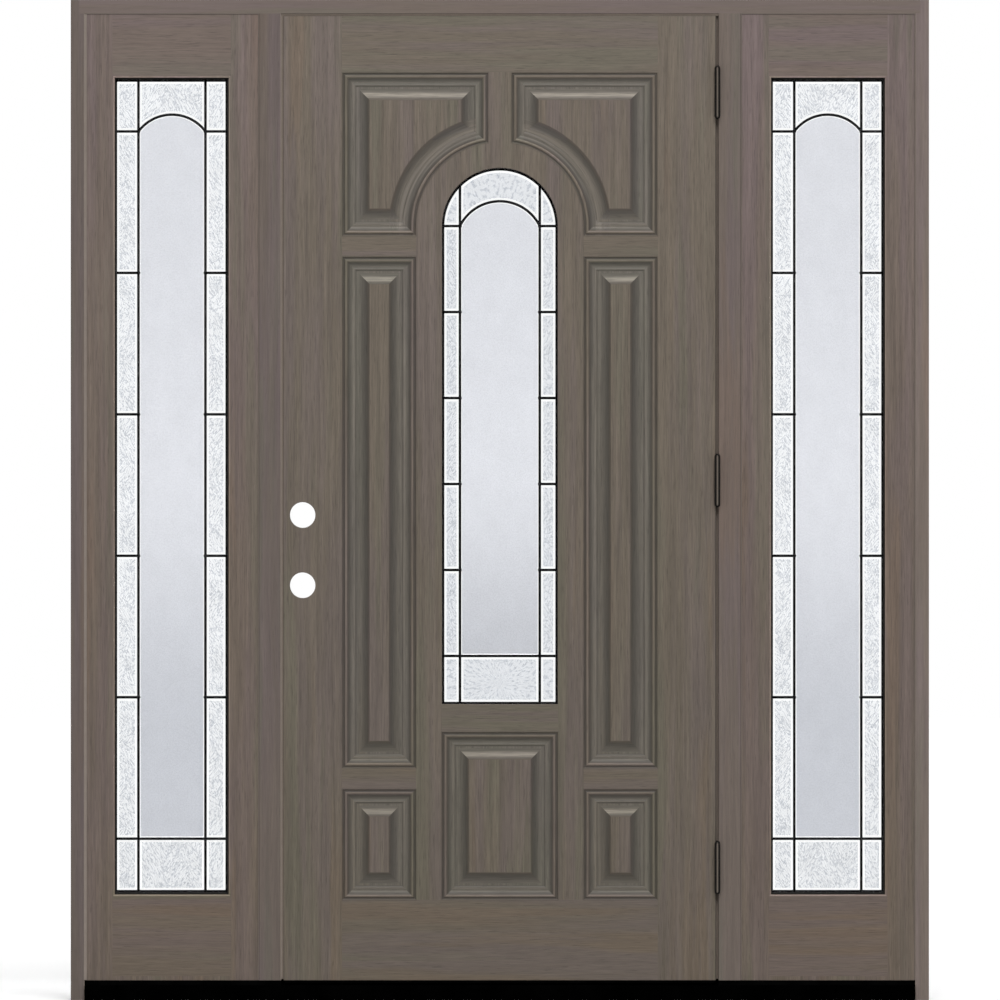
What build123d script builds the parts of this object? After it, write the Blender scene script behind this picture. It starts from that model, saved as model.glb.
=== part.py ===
from build123d import *
import math
import os

# Outswing fiberglass entry door between two fixed sidelites, seen from outside at -Y.
# Millimetres, +Z up, origin at the centre of the sill's underside.

# Frame
UNIT_HALF_WIDTH = 900.5
UNIT_HEIGHT = 2100.0
JAMB_DEPTH = 116.0
JAMB_THICKNESS = 29.0
JAMB_FRONT = -JAMB_DEPTH / 2
JAMB_BACK = JAMB_DEPTH / 2
ARRIS = 1.2
STOP_FRONT = 0.0
STOP_RISE = 12.7
HEAD_DADO = 11.0
MULLION_THICKNESS = 47.0

# Sill
DECK_TOP = 32.0
DECK_WALL = 3.0
NOSE_REACH = 12.0
NOSE_DROP = 9.0
PAD_TOP = 42.0
BUMPER_TOP = 51.0
BUMPER_DEPTH = 40.0
BUMPER_WALL = 2.5

# Door leaf
LEAF_HALF_WIDTH = 453.8
LEAF_GAP = 5.2
LEAF_THICKNESS = 44.45
LEAF_FRONT = JAMB_FRONT + 1.0
LEAF_BACK = LEAF_FRONT + LEAF_THICKNESS
LEAF_BOTTOM = PAD_TOP
SKIN = 2.4
STILE_WIDTH = 38.0
RAIL_HEIGHT = 38.0
LOCK_EDGE_BEVEL = 2.3
LOCK_BLOCK_WIDTH = 104.0
LOCK_BLOCK_BOTTOM = 780.0
LOCK_BLOCK_TOP = 1110.0
FIN_THICKNESS = 2.0

# Holes for the lock
BORE_RADIUS = 27.0
BORE_X = -414.2
LOCKSET_Z = 870.9
DEADBOLT_Z = 1018.5
EDGE_BORE_RADIUS = 12.7
STRIKE_DEPTH = 25.0

# Moulded panels, as half distances from the leaf's centre line and heights
PANEL_OUTER_X = 330.5
PANEL_INNER_X = 176.0
UPPER_INNER_X = 24.6
UPPER_TOP = 1946.6
UPPER_BOTTOM = 1604.4
LONG_TOP = 1560.2
LONG_BOTTOM = 487.2
LOWER_TOP = 442.6
LOWER_BOTTOM = 211.1
CENTRE_HALF_WIDTH = 121.9
CENTRE_TOP = 562.7
PANEL_BLOCK = 12.0

# Moulding, from a panel's outline inward
QUIRK_WIDTH = 3.2
QUIRK_DEPTH = 2.0
BEAD_WIDTH = 7.0
BEAD_CREST = 0.3
BEAD_FALL = 140.0
COVE_END = 20.5
COVE_FLAT_END = 21.5
COVE_DEPTH = 6.0
COVE_STEPS = 2
LISTEL_START = 23.2
LISTEL_END = 26.6
LISTEL_DEPTH = 4.9
CREASE_AT = 28.2
CREASE_DEPTH = 6.6
SCOOP_END = 56.0
SCOOP_DEPTH = 1.3
SCOOP_POWER = 2.2
SCOOP_STEPS = (0.5, 1.0)
FIELD_START = 57.6
FIELD_DEPTH = 0.9

# Lites
LITE_HALF_WIDTH = 123.7
LITE_BOTTOM = 619.0
LITE_SPRING = 1625.4
SIDELITE_HALF_WIDTH = 119.5
SIDELITE_BOTTOM = 222.0
SIDELITE_TOP = 1936.5
REVEAL_CHAMFER = 3.2
COLLAR_WIDTH = 14.0
COLLAR_DEPTH = 9.5
UNIT_LAP = 10.0
PANE = 3.2
SPACER_SIGHT = 2.0
CAME_RIM = 5.0
CAME_WIDTH = 5.6
CAME_THICKNESS = 6.0
GLASS_THICKNESS = 4.0
CAME_COLUMN = 83.8
CAME_ROW_TOP = LITE_SPRING
CAME_ROW_STEP = 180.6
CAME_ROWS = 5
CAME_ARCH_RISE = 52.1
SIDELITE_COLUMN = 70.35
SIDELITE_ROW_TOP = 1824.1
SIDELITE_ROW_STEP = 297.1
SIDELITE_ARCH_RISE = 35.3

# Sidelite panels
SIDELITE_JOINT = 1.0

# Hinges
HINGE_HEIGHTS = (1905.5, 1091.0, 278.6)
HINGE_LENGTH = 102.0
KNUCKLE_RADIUS = 6.0
KNUCKLE_GAP = 0.3
PIN_RADIUS = 3.0
PIN_CLEARANCE = 0.05
PIN_TIP = 4.0
PLATE_THICKNESS = 2.5
PLATE_BACK = -19.0
PLATE_CORNER = 6.0
PIN_Y = LEAF_FRONT - 8.5

# Seals
STRIP_WIDTH = 10.0
STRIP_EDGE = 1.0

JAMB_FACE = UNIT_HALF_WIDTH - JAMB_THICKNESS
HEAD_BOTTOM = UNIT_HEIGHT - JAMB_THICKNESS
MULLION_FACE = LEAF_HALF_WIDTH + LEAF_GAP
MULLION_OUTER = MULLION_FACE + MULLION_THICKNESS
STOP_FACE = MULLION_FACE - STOP_RISE
LEAF_TOP = HEAD_BOTTOM - LEAF_GAP
PIN_X = (LEAF_HALF_WIDTH + MULLION_FACE) / 2
SIDELITE_INNER = MULLION_OUTER + SIDELITE_JOINT
SIDELITE_OUTER = JAMB_FACE - SIDELITE_JOINT
SIDELITE_CENTRE = (SIDELITE_INNER + SIDELITE_OUTER) / 2
SIDELITE_HEAD = HEAD_BOTTOM - SIDELITE_JOINT
STRIP_FRONT = LEAF_BACK + LEAF_GAP
MID_DEPTH = (LEAF_FRONT + LEAF_BACK) / 2


def box(x0, x1, y0, y1, z0, z1):
    centre = ((x0 + x1) / 2, (y0 + y1) / 2, (z0 + z1) / 2)
    return Pos(*centre) * Box(abs(x1 - x0), abs(y1 - y0), abs(z1 - z0))


def upright(face, y0, y1):
    # A drawing in the front elevation, given depth from y0 back to y1.
    return Plane.XZ.location * (Pos(0, 0, -y1) * extrude(face, y1 - y0))


def across(points, x0, x1):
    # A section drawn as (y, z) points, run from x0 to x1.
    section = make_face(Polyline(*points, close=True))
    return Pos(x0, 0, 0) * (Plane.YZ.location * extrude(section, x1 - x0))


def upward(points, z0, z1):
    # A plan drawn as (x, y) points, raised from z0 to z1.
    return Pos(0, 0, z0) * extrude(make_face(Polyline(*points, close=True)), z1 - z0)


def mirrored(shape):
    return mirror(shape, about=Plane.YZ)


def save(name, shape):
    solids = shape.solids()
    whole = solids[0] if len(solids) == 1 else Compound(children=solids)
    export_step(whole, f"parts/{name}.step")


# Moulding chains: each is a rising or a sinking run of (inset, depth) points.
def scoop(share):
    inset = CREASE_AT + share * (SCOOP_END - CREASE_AT)
    return inset, -CREASE_DEPTH + (CREASE_DEPTH - SCOOP_DEPTH) * share**SCOOP_POWER


def cove(share, start):
    sink = 1 - (1 - share) ** 2
    return start[0] + share * (COVE_END - start[0]), start[1] - sink * (COVE_DEPTH + start[1])


def bead(angle):
    turn = math.radians(angle)
    inset = QUIRK_WIDTH + BEAD_WIDTH / 2 * (1 - math.cos(turn))
    return inset, -QUIRK_DEPTH + (QUIRK_DEPTH - BEAD_CREST) * math.sin(turn)


def moulding_chains():
    fall = [bead(90), bead(BEAD_FALL)]
    hollow = [cove(i / COVE_STEPS, fall[-1]) for i in range(1, COVE_STEPS + 1)]
    crease = (CREASE_AT, -CREASE_DEPTH)
    return (
        ("sink", [(0, 0), (QUIRK_WIDTH, -QUIRK_DEPTH)]),
        ("rise", [bead(0), bead(90)]),
        ("sink", fall + hollow),
        ("rise", [(COVE_FLAT_END, -COVE_DEPTH), (LISTEL_START, -LISTEL_DEPTH)]),
        ("sink", [(LISTEL_END, -LISTEL_DEPTH), crease]),
        ("rise", [crease, *[scoop(share) for share in SCOOP_STEPS], (FIELD_START, -FIELD_DEPTH)]),
    )


def backing_chains():
    # The skin's back is smoother: down behind the bead and cove, up again behind the scoop.
    crease = (CREASE_AT, -CREASE_DEPTH)
    return (
        ("sink", [(0, 0), (COVE_END, -COVE_DEPTH)]),
        ("sink", [(COVE_FLAT_END, -COVE_DEPTH), crease]),
        ("rise", [crease, scoop(SCOOP_STEPS[0]), (FIELD_START, -FIELD_DEPTH)]),
    )


def square_outline(x0, x1, z0, z1):
    def at(inset, height):
        corners = (
            (x0 + inset, z0 + inset),
            (x1 - inset, z0 + inset),
            (x1 - inset, z1 - inset),
            (x0 + inset, z1 - inset),
        )
        return Wire.make_polygon([Vector(x, z, height) for x, z in corners], close=True)

    return at


def arched_outline(outer, inner, bottom, top, radius, spring):
    # The left upper panel, whose lower right corner is hollowed by an arc round the lite.
    def at(inset, height):
        left, right = -outer + inset, -inner - inset
        low, high = bottom + inset, top - inset
        reach = radius + inset

        def on_arc(angle):
            return Vector(reach * math.cos(angle), spring + reach * math.sin(angle), height)

        start = math.acos(right / reach)
        end = math.pi - math.asin(max(low - spring, 0) / reach)
        arc = (on_arc(start), on_arc((start + end) / 2), on_arc(end))
        corner = Vector(arc[2].X, low, height)
        points = [Vector(left, low, height), Vector(left, high, height), Vector(right, high, height), arc[0]]
        edges = [Edge.make_line(a, b) for a, b in zip(points, points[1:])]
        edges.append(Edge.make_three_point_arc(*arc))
        if low < spring:
            edges.append(Edge.make_line(arc[2], corner))
        edges.append(Edge.make_line(corner, points[0]))
        return Wire(edges)

    return at


def plain_block(outline):
    return Solid.extrude(Face(outline(0, -PANEL_BLOCK)), Vector(0, 0, PANEL_BLOCK))


def moulded_block(outline, chains):
    # A panel's surface on a block, in the elevation with the face at height 0.
    block = plain_block(outline)
    for kind, chain in chains:
        ring = Solid.make_loft([outline(inset, height) for inset, height in chain], True)
        block = block + ring if kind == "rise" else block - ring
    return block


def trench(outline):
    # What the core leaves free behind a panel, round a boss that carries the raised field.
    deep = CREASE_DEPTH + SKIN
    pocket = Solid.extrude(Face(outline(0, -deep)), Vector(0, 0, deep))
    boss = Solid.extrude(Face(outline(FIELD_START, -deep)), Vector(0, 0, deep - FIELD_DEPTH - SKIN))
    return pocket - boss


def panel_outlines():
    upper = arched_outline(PANEL_OUTER_X, UPPER_INNER_X, UPPER_BOTTOM, UPPER_TOP, PANEL_INNER_X, LITE_SPRING)
    paired = (
        upper,
        square_outline(-PANEL_OUTER_X, -PANEL_INNER_X, LONG_BOTTOM, LONG_TOP),
        square_outline(-PANEL_OUTER_X, -PANEL_INNER_X, LOWER_BOTTOM, LOWER_TOP),
    )
    return paired, square_outline(-CENTRE_HALF_WIDTH, CENTRE_HALF_WIDTH, LOWER_BOTTOM, CENTRE_TOP)


def moulded_panels():
    # For each panel its moulded sheet, its outline as a plain block and the trench behind the sheet.
    paired, centre = panel_outlines()
    panels = []
    for outline in (*paired, centre):
        plain = plain_block(outline)
        back = Pos(0, 0, -SKIN) * moulded_block(outline, backing_chains())
        sheet = moulded_block(outline, moulding_chains()) - back
        behind = trench(outline)
        panels.append((sheet, plain, behind))
        if outline is not centre:
            panels.append((mirrored(sheet), mirrored(plain), mirrored(behind)))
    return panels


# Lite outlines, drawn in the elevation and grown outward by a margin.
def arch_lite(margin=0.0):
    half = LITE_HALF_WIDTH + margin
    low = LITE_BOTTOM - margin
    light = Pos(0, (low + LITE_SPRING) / 2) * Rectangle(2 * half, LITE_SPRING - low)
    return light + Pos(0, LITE_SPRING) * Circle(half)


def straight_lite(margin=0.0):
    height = SIDELITE_TOP - SIDELITE_BOTTOM + 2 * margin
    middle = (SIDELITE_TOP + SIDELITE_BOTTOM) / 2
    return Pos(0, middle) * Rectangle(2 * (SIDELITE_HALF_WIDTH + margin), height)


def bar(x0, x1, z0, z1):
    return Pos((x0 + x1) / 2, (z0 + z1) / 2) * Rectangle(x1 - x0, z1 - z0)


def came_drawing(lite, column, rows, rise):
    # Rim, two uprights, side rows down to a full-width one, and an arch between the uprights.
    half = CAME_WIDTH / 2
    light = lite()
    edge = light.bounding_box()
    drawing = lite(-SPACER_SIGHT) - lite(-SPACER_SIGHT - CAME_RIM)
    grid = bar(edge.min.X, edge.max.X, rows[-1] - half, rows[-1] + half)
    for side in (-1, 1):
        grid += bar(side * column - half, side * column + half, edge.min.Y, edge.max.Y)
        reach = sorted((side * column, side * edge.max.X))
        for row in rows[:-1]:
            grid += bar(*reach, row - half, row + half)
    radius = (column**2 + rise**2) / (2 * rise)
    centre = rows[0] + rise - radius
    ring = Pos(0, centre) * (Circle(radius + half) - Circle(radius - half))
    grid += ring & bar(-column, column, rows[0] - half, rows[0] + rise + CAME_WIDTH)
    return drawing + (grid & lite(-SPACER_SIGHT))


def lite_pieces(lite, column, rows, rise):
    # The sealed glass unit: two panes, the spacer between, and the leaded layer in the middle.
    front = LEAF_FRONT + COLLAR_DEPTH
    back = LEAF_BACK - COLLAR_DEPTH
    whole = lite(UNIT_LAP)
    drawing = came_drawing(lite, column, rows, rise)
    sheet = upright(lite(-SPACER_SIGHT), MID_DEPTH - GLASS_THICKNESS / 2, MID_DEPTH + GLASS_THICKNESS / 2)
    came = upright(drawing, MID_DEPTH - CAME_THICKNESS / 2, MID_DEPTH + CAME_THICKNESS / 2)
    cells = (sheet - came).solids()
    tall = max(cells, key=lambda cell: cell.volume)
    return {
        "safety_panes": Compound(children=[
            upright(whole, front, front + PANE).solids()[0],
            upright(whole, back - PANE, back).solids()[0],
        ]),
        "spacer": upright(whole - lite(-SPACER_SIGHT), front + PANE, back - PANE),
        "cames": came,
        "centre_glass": tall,
        "border_glass": Compound(children=[cell for cell in cells if cell is not tall]),
    }


def reveal(lite):
    # The hole through a skin and its collar, with its front edge chamfered.
    hole = upright(lite(), LEAF_FRONT - 1, LEAF_FRONT + COLLAR_DEPTH + 1)
    sections = []
    for margin, depth in ((REVEAL_CHAMFER, 0.0), (0.0, REVEAL_CHAMFER)):
        wire = lite(margin).face().outer_wire()
        sections.append(Plane.XZ.location * (Pos(0, 0, -(LEAF_FRONT + depth)) * wire))
    return hole + Solid.make_loft(sections, True)


def flat_skin(x0, x1, z0, z1, lite):
    # A skin with a collar turned in round its lite.
    skin = box(x0, x1, LEAF_FRONT, LEAF_FRONT + SKIN, z0, z1)
    skin += upright(lite(COLLAR_WIDTH), LEAF_FRONT, LEAF_FRONT + COLLAR_DEPTH)
    return skin - reveal(lite)


def turned_in(shape):
    return mirror(shape, about=Plane.XZ.offset(-MID_DEPTH))


# Door leaf
def lock_bevel():
    # What the lock edge's bevel takes off, narrowing the leaf towards the inside.
    edge = -LEAF_HALF_WIDTH
    inner, clear = edge + LOCK_EDGE_BEVEL, edge - LOCK_EDGE_BEVEL
    points = ((edge, LEAF_FRONT), (inner, LEAF_BACK), (clear, LEAF_BACK), (clear, LEAF_FRONT))
    return upward(points, LEAF_BOTTOM - 1, LEAF_TOP + 1)


def lock_holes():
    holes = []
    for height in (LOCKSET_Z, DEADBOLT_Z):
        through = Pos(BORE_X, MID_DEPTH, height) * Rot(90, 0, 0) * Cylinder(BORE_RADIUS, LEAF_THICKNESS + 4)
        edge_length = LEAF_HALF_WIDTH + BORE_X
        edge = Pos(BORE_X - edge_length / 2, MID_DEPTH, height) * Rot(0, 90, 0)
        holes += [through, edge * Cylinder(EDGE_BORE_RADIUS, edge_length + 2)]
    return holes


def hinge_plate(x0, x1, y0):
    # One flap of a hinge, a sheet with its two far corners cut off.
    flap = box(x0, x1, y0, PLATE_BACK, -HINGE_LENGTH / 2, HINGE_LENGTH / 2)
    far = flap.edges().filter_by(Axis.X).group_by(Axis.Y)[-1]
    return chamfer(far, PLATE_CORNER)


def hinge_flaps(x0, x1, y0):
    return [Pos(0, 0, height) * hinge_plate(x0, x1, y0) for height in HINGE_HEIGHTS]


def door_flaps():
    return hinge_flaps(LEAF_HALF_WIDTH - PLATE_THICKNESS, LEAF_HALF_WIDTH, LEAF_FRONT)


def frame_flaps():
    return hinge_flaps(MULLION_FACE, MULLION_FACE + PLATE_THICKNESS, JAMB_FRONT)


def leaf_skins(panels):
    skin = flat_skin(-LEAF_HALF_WIDTH, LEAF_HALF_WIDTH, LEAF_BOTTOM, LEAF_TOP, arch_lite)
    placed = Plane.XZ.location * Pos(0, 0, -LEAF_FRONT)
    skin = skin - [placed * plain for _, plain, _ in panels]
    skin = skin + [placed * sheet for sheet, _, _ in panels]
    holes = [lock_bevel(), *lock_holes()]
    return skin - [*holes, *door_flaps()], turned_in(skin) - holes


def leaf_core(panels):
    x = LEAF_HALF_WIDTH - STILE_WIDTH
    low, high = LEAF_BOTTOM + RAIL_HEIGHT, LEAF_TOP - RAIL_HEIGHT
    core = box(-x, x, LEAF_FRONT + SKIN, LEAF_BACK - SKIN, low, high)
    placed = Plane.XZ.location * Pos(0, 0, -LEAF_FRONT)
    hollows = [placed * behind for _, _, behind in panels]
    window = upright(arch_lite(COLLAR_WIDTH), LEAF_FRONT, LEAF_BACK)
    block_edge = LOCK_BLOCK_WIDTH - LEAF_HALF_WIDTH
    lock_block = box(-x - 1, block_edge, LEAF_FRONT, LEAF_BACK, LOCK_BLOCK_BOTTOM, LOCK_BLOCK_TOP)
    return core - [*hollows, *[turned_in(hollow) for hollow in hollows], window, lock_block]


def lock_stile():
    x, y0, y1 = -LEAF_HALF_WIDTH, LEAF_FRONT + SKIN, LEAF_BACK - SKIN
    stile = box(x, x + STILE_WIDTH, y0, y1, LEAF_BOTTOM, LEAF_TOP)
    stile += box(x, x + LOCK_BLOCK_WIDTH, y0, y1, LOCK_BLOCK_BOTTOM, LOCK_BLOCK_TOP)
    return stile - [lock_bevel(), *lock_holes()]


def hinge_stile():
    x, y0, y1 = LEAF_HALF_WIDTH, LEAF_FRONT + SKIN, LEAF_BACK - SKIN
    return box(x - STILE_WIDTH, x, y0, y1, LEAF_BOTTOM, LEAF_TOP) - door_flaps()


def leaf_rail(z0, z1):
    x = LEAF_HALF_WIDTH - STILE_WIDTH
    return box(-x, x, LEAF_FRONT + SKIN, LEAF_BACK - SKIN, z0, z1)


def door_sweep():
    # A carrier under the leaf with three fins.
    low, top = DECK_TOP + LEAF_GAP, LEAF_BOTTOM
    y0, y1 = LEAF_FRONT + SKIN, LEAF_BACK - SKIN
    x0, x1 = -LEAF_HALF_WIDTH + LOCK_EDGE_BEVEL, LEAF_HALF_WIDTH - LOCK_EDGE_BEVEL
    sweep = box(x0, x1, y0, y1, top - FIN_THICKNESS, top)
    for y in (y0, (y0 + y1 - FIN_THICKNESS) / 2, y1 - FIN_THICKNESS):
        sweep += box(x0, x1, y, y + FIN_THICKNESS, low, top)
    return sweep


# Frame
def front_part(x0, x1, z0, z1):
    # The part of a post in front of its stop, with its two front arrises eased.
    points = (
        (x0, STOP_FRONT), (x0, JAMB_FRONT + ARRIS), (x0 + ARRIS, JAMB_FRONT),
        (x1 - ARRIS, JAMB_FRONT), (x1, JAMB_FRONT + ARRIS), (x1, STOP_FRONT),
    )
    return upward(points, z0, z1)


def side_jamb():
    jamb = front_part(JAMB_FACE, UNIT_HALF_WIDTH, 0, UNIT_HEIGHT)
    jamb += box(JAMB_FACE, UNIT_HALF_WIDTH, STOP_FRONT, JAMB_BACK, 0, UNIT_HEIGHT)
    jamb += box(JAMB_FACE - STOP_RISE, JAMB_FACE, STOP_FRONT, JAMB_BACK, PAD_TOP, HEAD_BOTTOM - STOP_RISE)
    return jamb - box(JAMB_FACE, JAMB_FACE + HEAD_DADO, JAMB_FRONT, JAMB_BACK, HEAD_BOTTOM, UNIT_HEIGHT)


def head_jamb():
    x = JAMB_FACE + HEAD_DADO
    head = box(-x, x, JAMB_FRONT, JAMB_BACK, HEAD_BOTTOM, UNIT_HEIGHT)
    return head + box(-JAMB_FACE, JAMB_FACE, STOP_FRONT, JAMB_BACK, HEAD_BOTTOM - STOP_RISE, HEAD_BOTTOM)


def mullion():
    post = front_part(MULLION_FACE, MULLION_OUTER, PAD_TOP, HEAD_BOTTOM)
    stops = box(STOP_FACE, MULLION_OUTER + STOP_RISE, STOP_FRONT, JAMB_BACK, PAD_TOP, HEAD_BOTTOM - STOP_RISE)
    return post + stops


def strike_mullion():
    post = mirrored(mullion())
    for height in (LOCKSET_Z, DEADBOLT_Z):
        place = Pos(-MULLION_FACE - STRIKE_DEPTH / 2, MID_DEPTH, height) * Rot(0, 90, 0)
        post -= place * Cylinder(EDGE_BORE_RADIUS, STRIKE_DEPTH)
    return post


def sill_substrate():
    nose = JAMB_FRONT - NOSE_REACH + DECK_WALL
    top = DECK_TOP - DECK_WALL
    points = ((nose, 0), (JAMB_BACK, 0), (JAMB_BACK, top), (JAMB_FRONT, top), (nose, top - NOSE_DROP))
    return across(points, -JAMB_FACE, JAMB_FACE)


def sill_deck():
    nose = JAMB_FRONT - NOSE_REACH
    top = DECK_TOP
    under = top - DECK_WALL
    points = (
        (nose, 0), (nose + DECK_WALL, 0), (nose + DECK_WALL, under - NOSE_DROP), (JAMB_FRONT, under),
        (JAMB_BACK, under), (JAMB_BACK, top), (JAMB_FRONT, top), (nose, top - NOSE_DROP),
    )
    return across(points, -JAMB_FACE, JAMB_FACE)


def sill_bumper():
    # The raised inner ridge, open below, that the leaf closes in front of.
    y0, y1 = STOP_FRONT, STOP_FRONT + BUMPER_DEPTH
    wall, slope = BUMPER_WALL, BUMPER_TOP - DECK_TOP
    points = (
        (y0, DECK_TOP), (y0 + wall, DECK_TOP), (y0 + wall, BUMPER_TOP - wall),
        (y1 - slope - wall, BUMPER_TOP - wall), (y1 - 1.4 * wall, DECK_TOP), (y1, DECK_TOP),
        (y1 - slope, BUMPER_TOP), (y0, BUMPER_TOP),
    )
    return across(points, -STOP_FACE, STOP_FACE)


def base_pads():
    # The pads on the sill that carry each sidelite, its mullion and the stops behind.
    pad = box(MULLION_FACE, JAMB_FACE, JAMB_FRONT, JAMB_BACK, DECK_TOP, PAD_TOP)
    pad += box(STOP_FACE, MULLION_FACE, STOP_FRONT, JAMB_BACK, DECK_TOP, PAD_TOP)
    return Compound(children=[*pad.solids(), *mirrored(pad).solids()])


def weatherstrip():
    y0, y1 = STRIP_FRONT, STOP_FRONT
    inner = STOP_FACE + STRIP_EDGE
    head = HEAD_BOTTOM - STOP_RISE + STRIP_EDGE
    upright_strip = box(inner, inner + STRIP_WIDTH, y0, y1, PAD_TOP, head)
    top_strip = box(-inner - STRIP_WIDTH, inner + STRIP_WIDTH, y0, y1, head, head + STRIP_WIDTH)
    low_strip = box(-inner, inner, y0, y1, BUMPER_TOP - STRIP_WIDTH, BUMPER_TOP)
    arch = upright_strip + mirrored(upright_strip) + top_strip
    return Compound(children=[*arch.solids(), *low_strip.solids()])


# Sidelites, drawn on the right and mirrored
def sidelite_lite(margin=0.0):
    return Pos(SIDELITE_CENTRE, 0) * straight_lite(margin)


def sidelite_stiles():
    y0, y1 = LEAF_FRONT + SKIN, LEAF_BACK - SKIN
    width = SIDELITE_CENTRE - SIDELITE_HALF_WIDTH - COLLAR_WIDTH - SIDELITE_INNER
    near = box(SIDELITE_INNER, SIDELITE_INNER + width, y0, y1, PAD_TOP, SIDELITE_HEAD)
    far = box(SIDELITE_OUTER - width, SIDELITE_OUTER, y0, y1, PAD_TOP, SIDELITE_HEAD)
    return Compound(children=[*near.solids(), *far.solids()])


def sidelite_rails():
    y0, y1 = LEAF_FRONT + SKIN, LEAF_BACK - SKIN
    half = SIDELITE_HALF_WIDTH + COLLAR_WIDTH
    x0, x1 = SIDELITE_CENTRE - half, SIDELITE_CENTRE + half
    low = box(x0, x1, y0, y1, PAD_TOP, SIDELITE_BOTTOM - COLLAR_WIDTH)
    high = box(x0, x1, y0, y1, SIDELITE_TOP + COLLAR_WIDTH, SIDELITE_HEAD)
    return Compound(children=[*low.solids(), *high.solids()])


def sidelite_pieces():
    rows = [SIDELITE_ROW_TOP - SIDELITE_ROW_STEP * i for i in range(CAME_ROWS + 1)]
    glazing = lite_pieces(straight_lite, SIDELITE_COLUMN, rows, SIDELITE_ARCH_RISE)
    pieces = {name: Pos(SIDELITE_CENTRE, 0, 0) * shape for name, shape in glazing.items()}
    skin = flat_skin(SIDELITE_INNER, SIDELITE_OUTER, PAD_TOP, SIDELITE_HEAD, sidelite_lite)
    pieces["outer_skin"] = skin
    pieces["inner_skin"] = turned_in(skin)
    pieces["stiles"] = sidelite_stiles()
    pieces["rails"] = sidelite_rails()
    return pieces


# Hinges
def knuckle(z0, z1):
    return Pos(PIN_X, PIN_Y, (z0 + z1) / 2) * Cylinder(KNUCKLE_RADIUS, z1 - z0)


def pin_bore():
    return Pos(PIN_X, PIN_Y, 0) * Cylinder(PIN_RADIUS + PIN_CLEARANCE, HINGE_LENGTH + 2)


def door_half():
    third = HINGE_LENGTH / 6
    x1 = LEAF_HALF_WIDTH
    x0 = x1 - PLATE_THICKNESS
    neck = box(x0, x1, PIN_Y, LEAF_FRONT, -third + KNUCKLE_GAP, third - KNUCKLE_GAP)
    half = hinge_plate(x0, x1, LEAF_FRONT) + neck + knuckle(-third + KNUCKLE_GAP, third - KNUCKLE_GAP)
    return half - pin_bore()


def frame_half():
    third, end = HINGE_LENGTH / 6, HINGE_LENGTH / 2
    x0 = MULLION_FACE
    x1 = x0 + PLATE_THICKNESS
    half = hinge_plate(x0, x1, JAMB_FRONT)
    for z0, z1 in ((-end, -third), (third, end)):
        half += box(x0, x1, PIN_Y, JAMB_FRONT, z0, z1)
        half += knuckle(z0, z1)
    return half - pin_bore()


def hinge_pin():
    return Pos(PIN_X, PIN_Y, 0) * Cylinder(PIN_RADIUS, HINGE_LENGTH + 2 * PIN_TIP)


def at_hinges(shape):
    return Compound(children=[(Pos(0, 0, height) * shape).solids()[0] for height in HINGE_HEIGHTS])


def door_nodes():
    panels = moulded_panels()
    outer_skin, inner_skin = leaf_skins(panels)
    rows = [CAME_ROW_TOP - CAME_ROW_STEP * i for i in range(CAME_ROWS + 1)]
    glazing = lite_pieces(arch_lite, CAME_COLUMN, rows, CAME_ARCH_RISE)
    nodes = {f"door_{name}": shape for name, shape in glazing.items()}
    nodes["door_outer_skin"] = outer_skin
    nodes["door_inner_skin"] = inner_skin
    nodes["door_foam_core"] = leaf_core(panels)
    nodes["door_lock_stile"] = lock_stile()
    nodes["door_hinge_stile"] = hinge_stile()
    nodes["door_top_rail"] = leaf_rail(LEAF_TOP - RAIL_HEIGHT, LEAF_TOP)
    nodes["door_bottom_rail"] = leaf_rail(LEAF_BOTTOM, LEAF_BOTTOM + RAIL_HEIGHT)
    nodes["door_sweep"] = door_sweep()
    nodes["hinge_door_flaps"] = at_hinges(door_half())
    return nodes


def frame_nodes():
    nodes = {
        "left_side_jamb": mirrored(side_jamb()),
        "right_side_jamb": side_jamb(),
        "head_jamb": head_jamb(),
        "strike_mullion": strike_mullion(),
        "hinge_mullion": mullion() - frame_flaps(),
        "sill_substrate": sill_substrate(),
        "sill_deck": sill_deck(),
        "sill_bumper": sill_bumper(),
        "base_pads": base_pads(),
        "weatherstrip": weatherstrip(),
        "hinge_frame_flaps": at_hinges(frame_half()),
        "hinge_pins": at_hinges(hinge_pin()),
    }
    for name, shape in sidelite_pieces().items():
        nodes[f"right_sidelite_{name}"] = shape
        nodes[f"left_sidelite_{name}"] = mirrored(shape)
    return nodes


os.makedirs("parts", exist_ok=True)
for node, shape in {**door_nodes(), **frame_nodes()}.items():
    save(node, shape)
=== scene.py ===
import math

import bmesh
import bpy
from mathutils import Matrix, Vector


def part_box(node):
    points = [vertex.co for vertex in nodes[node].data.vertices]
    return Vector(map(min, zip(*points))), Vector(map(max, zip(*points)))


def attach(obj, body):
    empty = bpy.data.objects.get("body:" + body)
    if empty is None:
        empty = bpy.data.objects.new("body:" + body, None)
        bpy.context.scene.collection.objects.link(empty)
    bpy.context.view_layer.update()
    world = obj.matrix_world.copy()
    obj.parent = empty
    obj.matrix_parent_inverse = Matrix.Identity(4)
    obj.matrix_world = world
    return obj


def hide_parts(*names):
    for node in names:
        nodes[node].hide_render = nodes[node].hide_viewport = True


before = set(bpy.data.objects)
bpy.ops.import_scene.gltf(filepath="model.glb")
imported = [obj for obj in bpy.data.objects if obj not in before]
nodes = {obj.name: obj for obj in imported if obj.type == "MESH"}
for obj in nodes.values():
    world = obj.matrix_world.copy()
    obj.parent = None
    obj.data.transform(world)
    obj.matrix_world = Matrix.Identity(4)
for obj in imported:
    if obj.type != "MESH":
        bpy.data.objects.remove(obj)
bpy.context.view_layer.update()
print("frame loaded,", len(nodes), "nodes")

scene = bpy.context.scene
scene.view_settings.view_transform = "Standard"

sides = ("left", "right")


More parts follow.
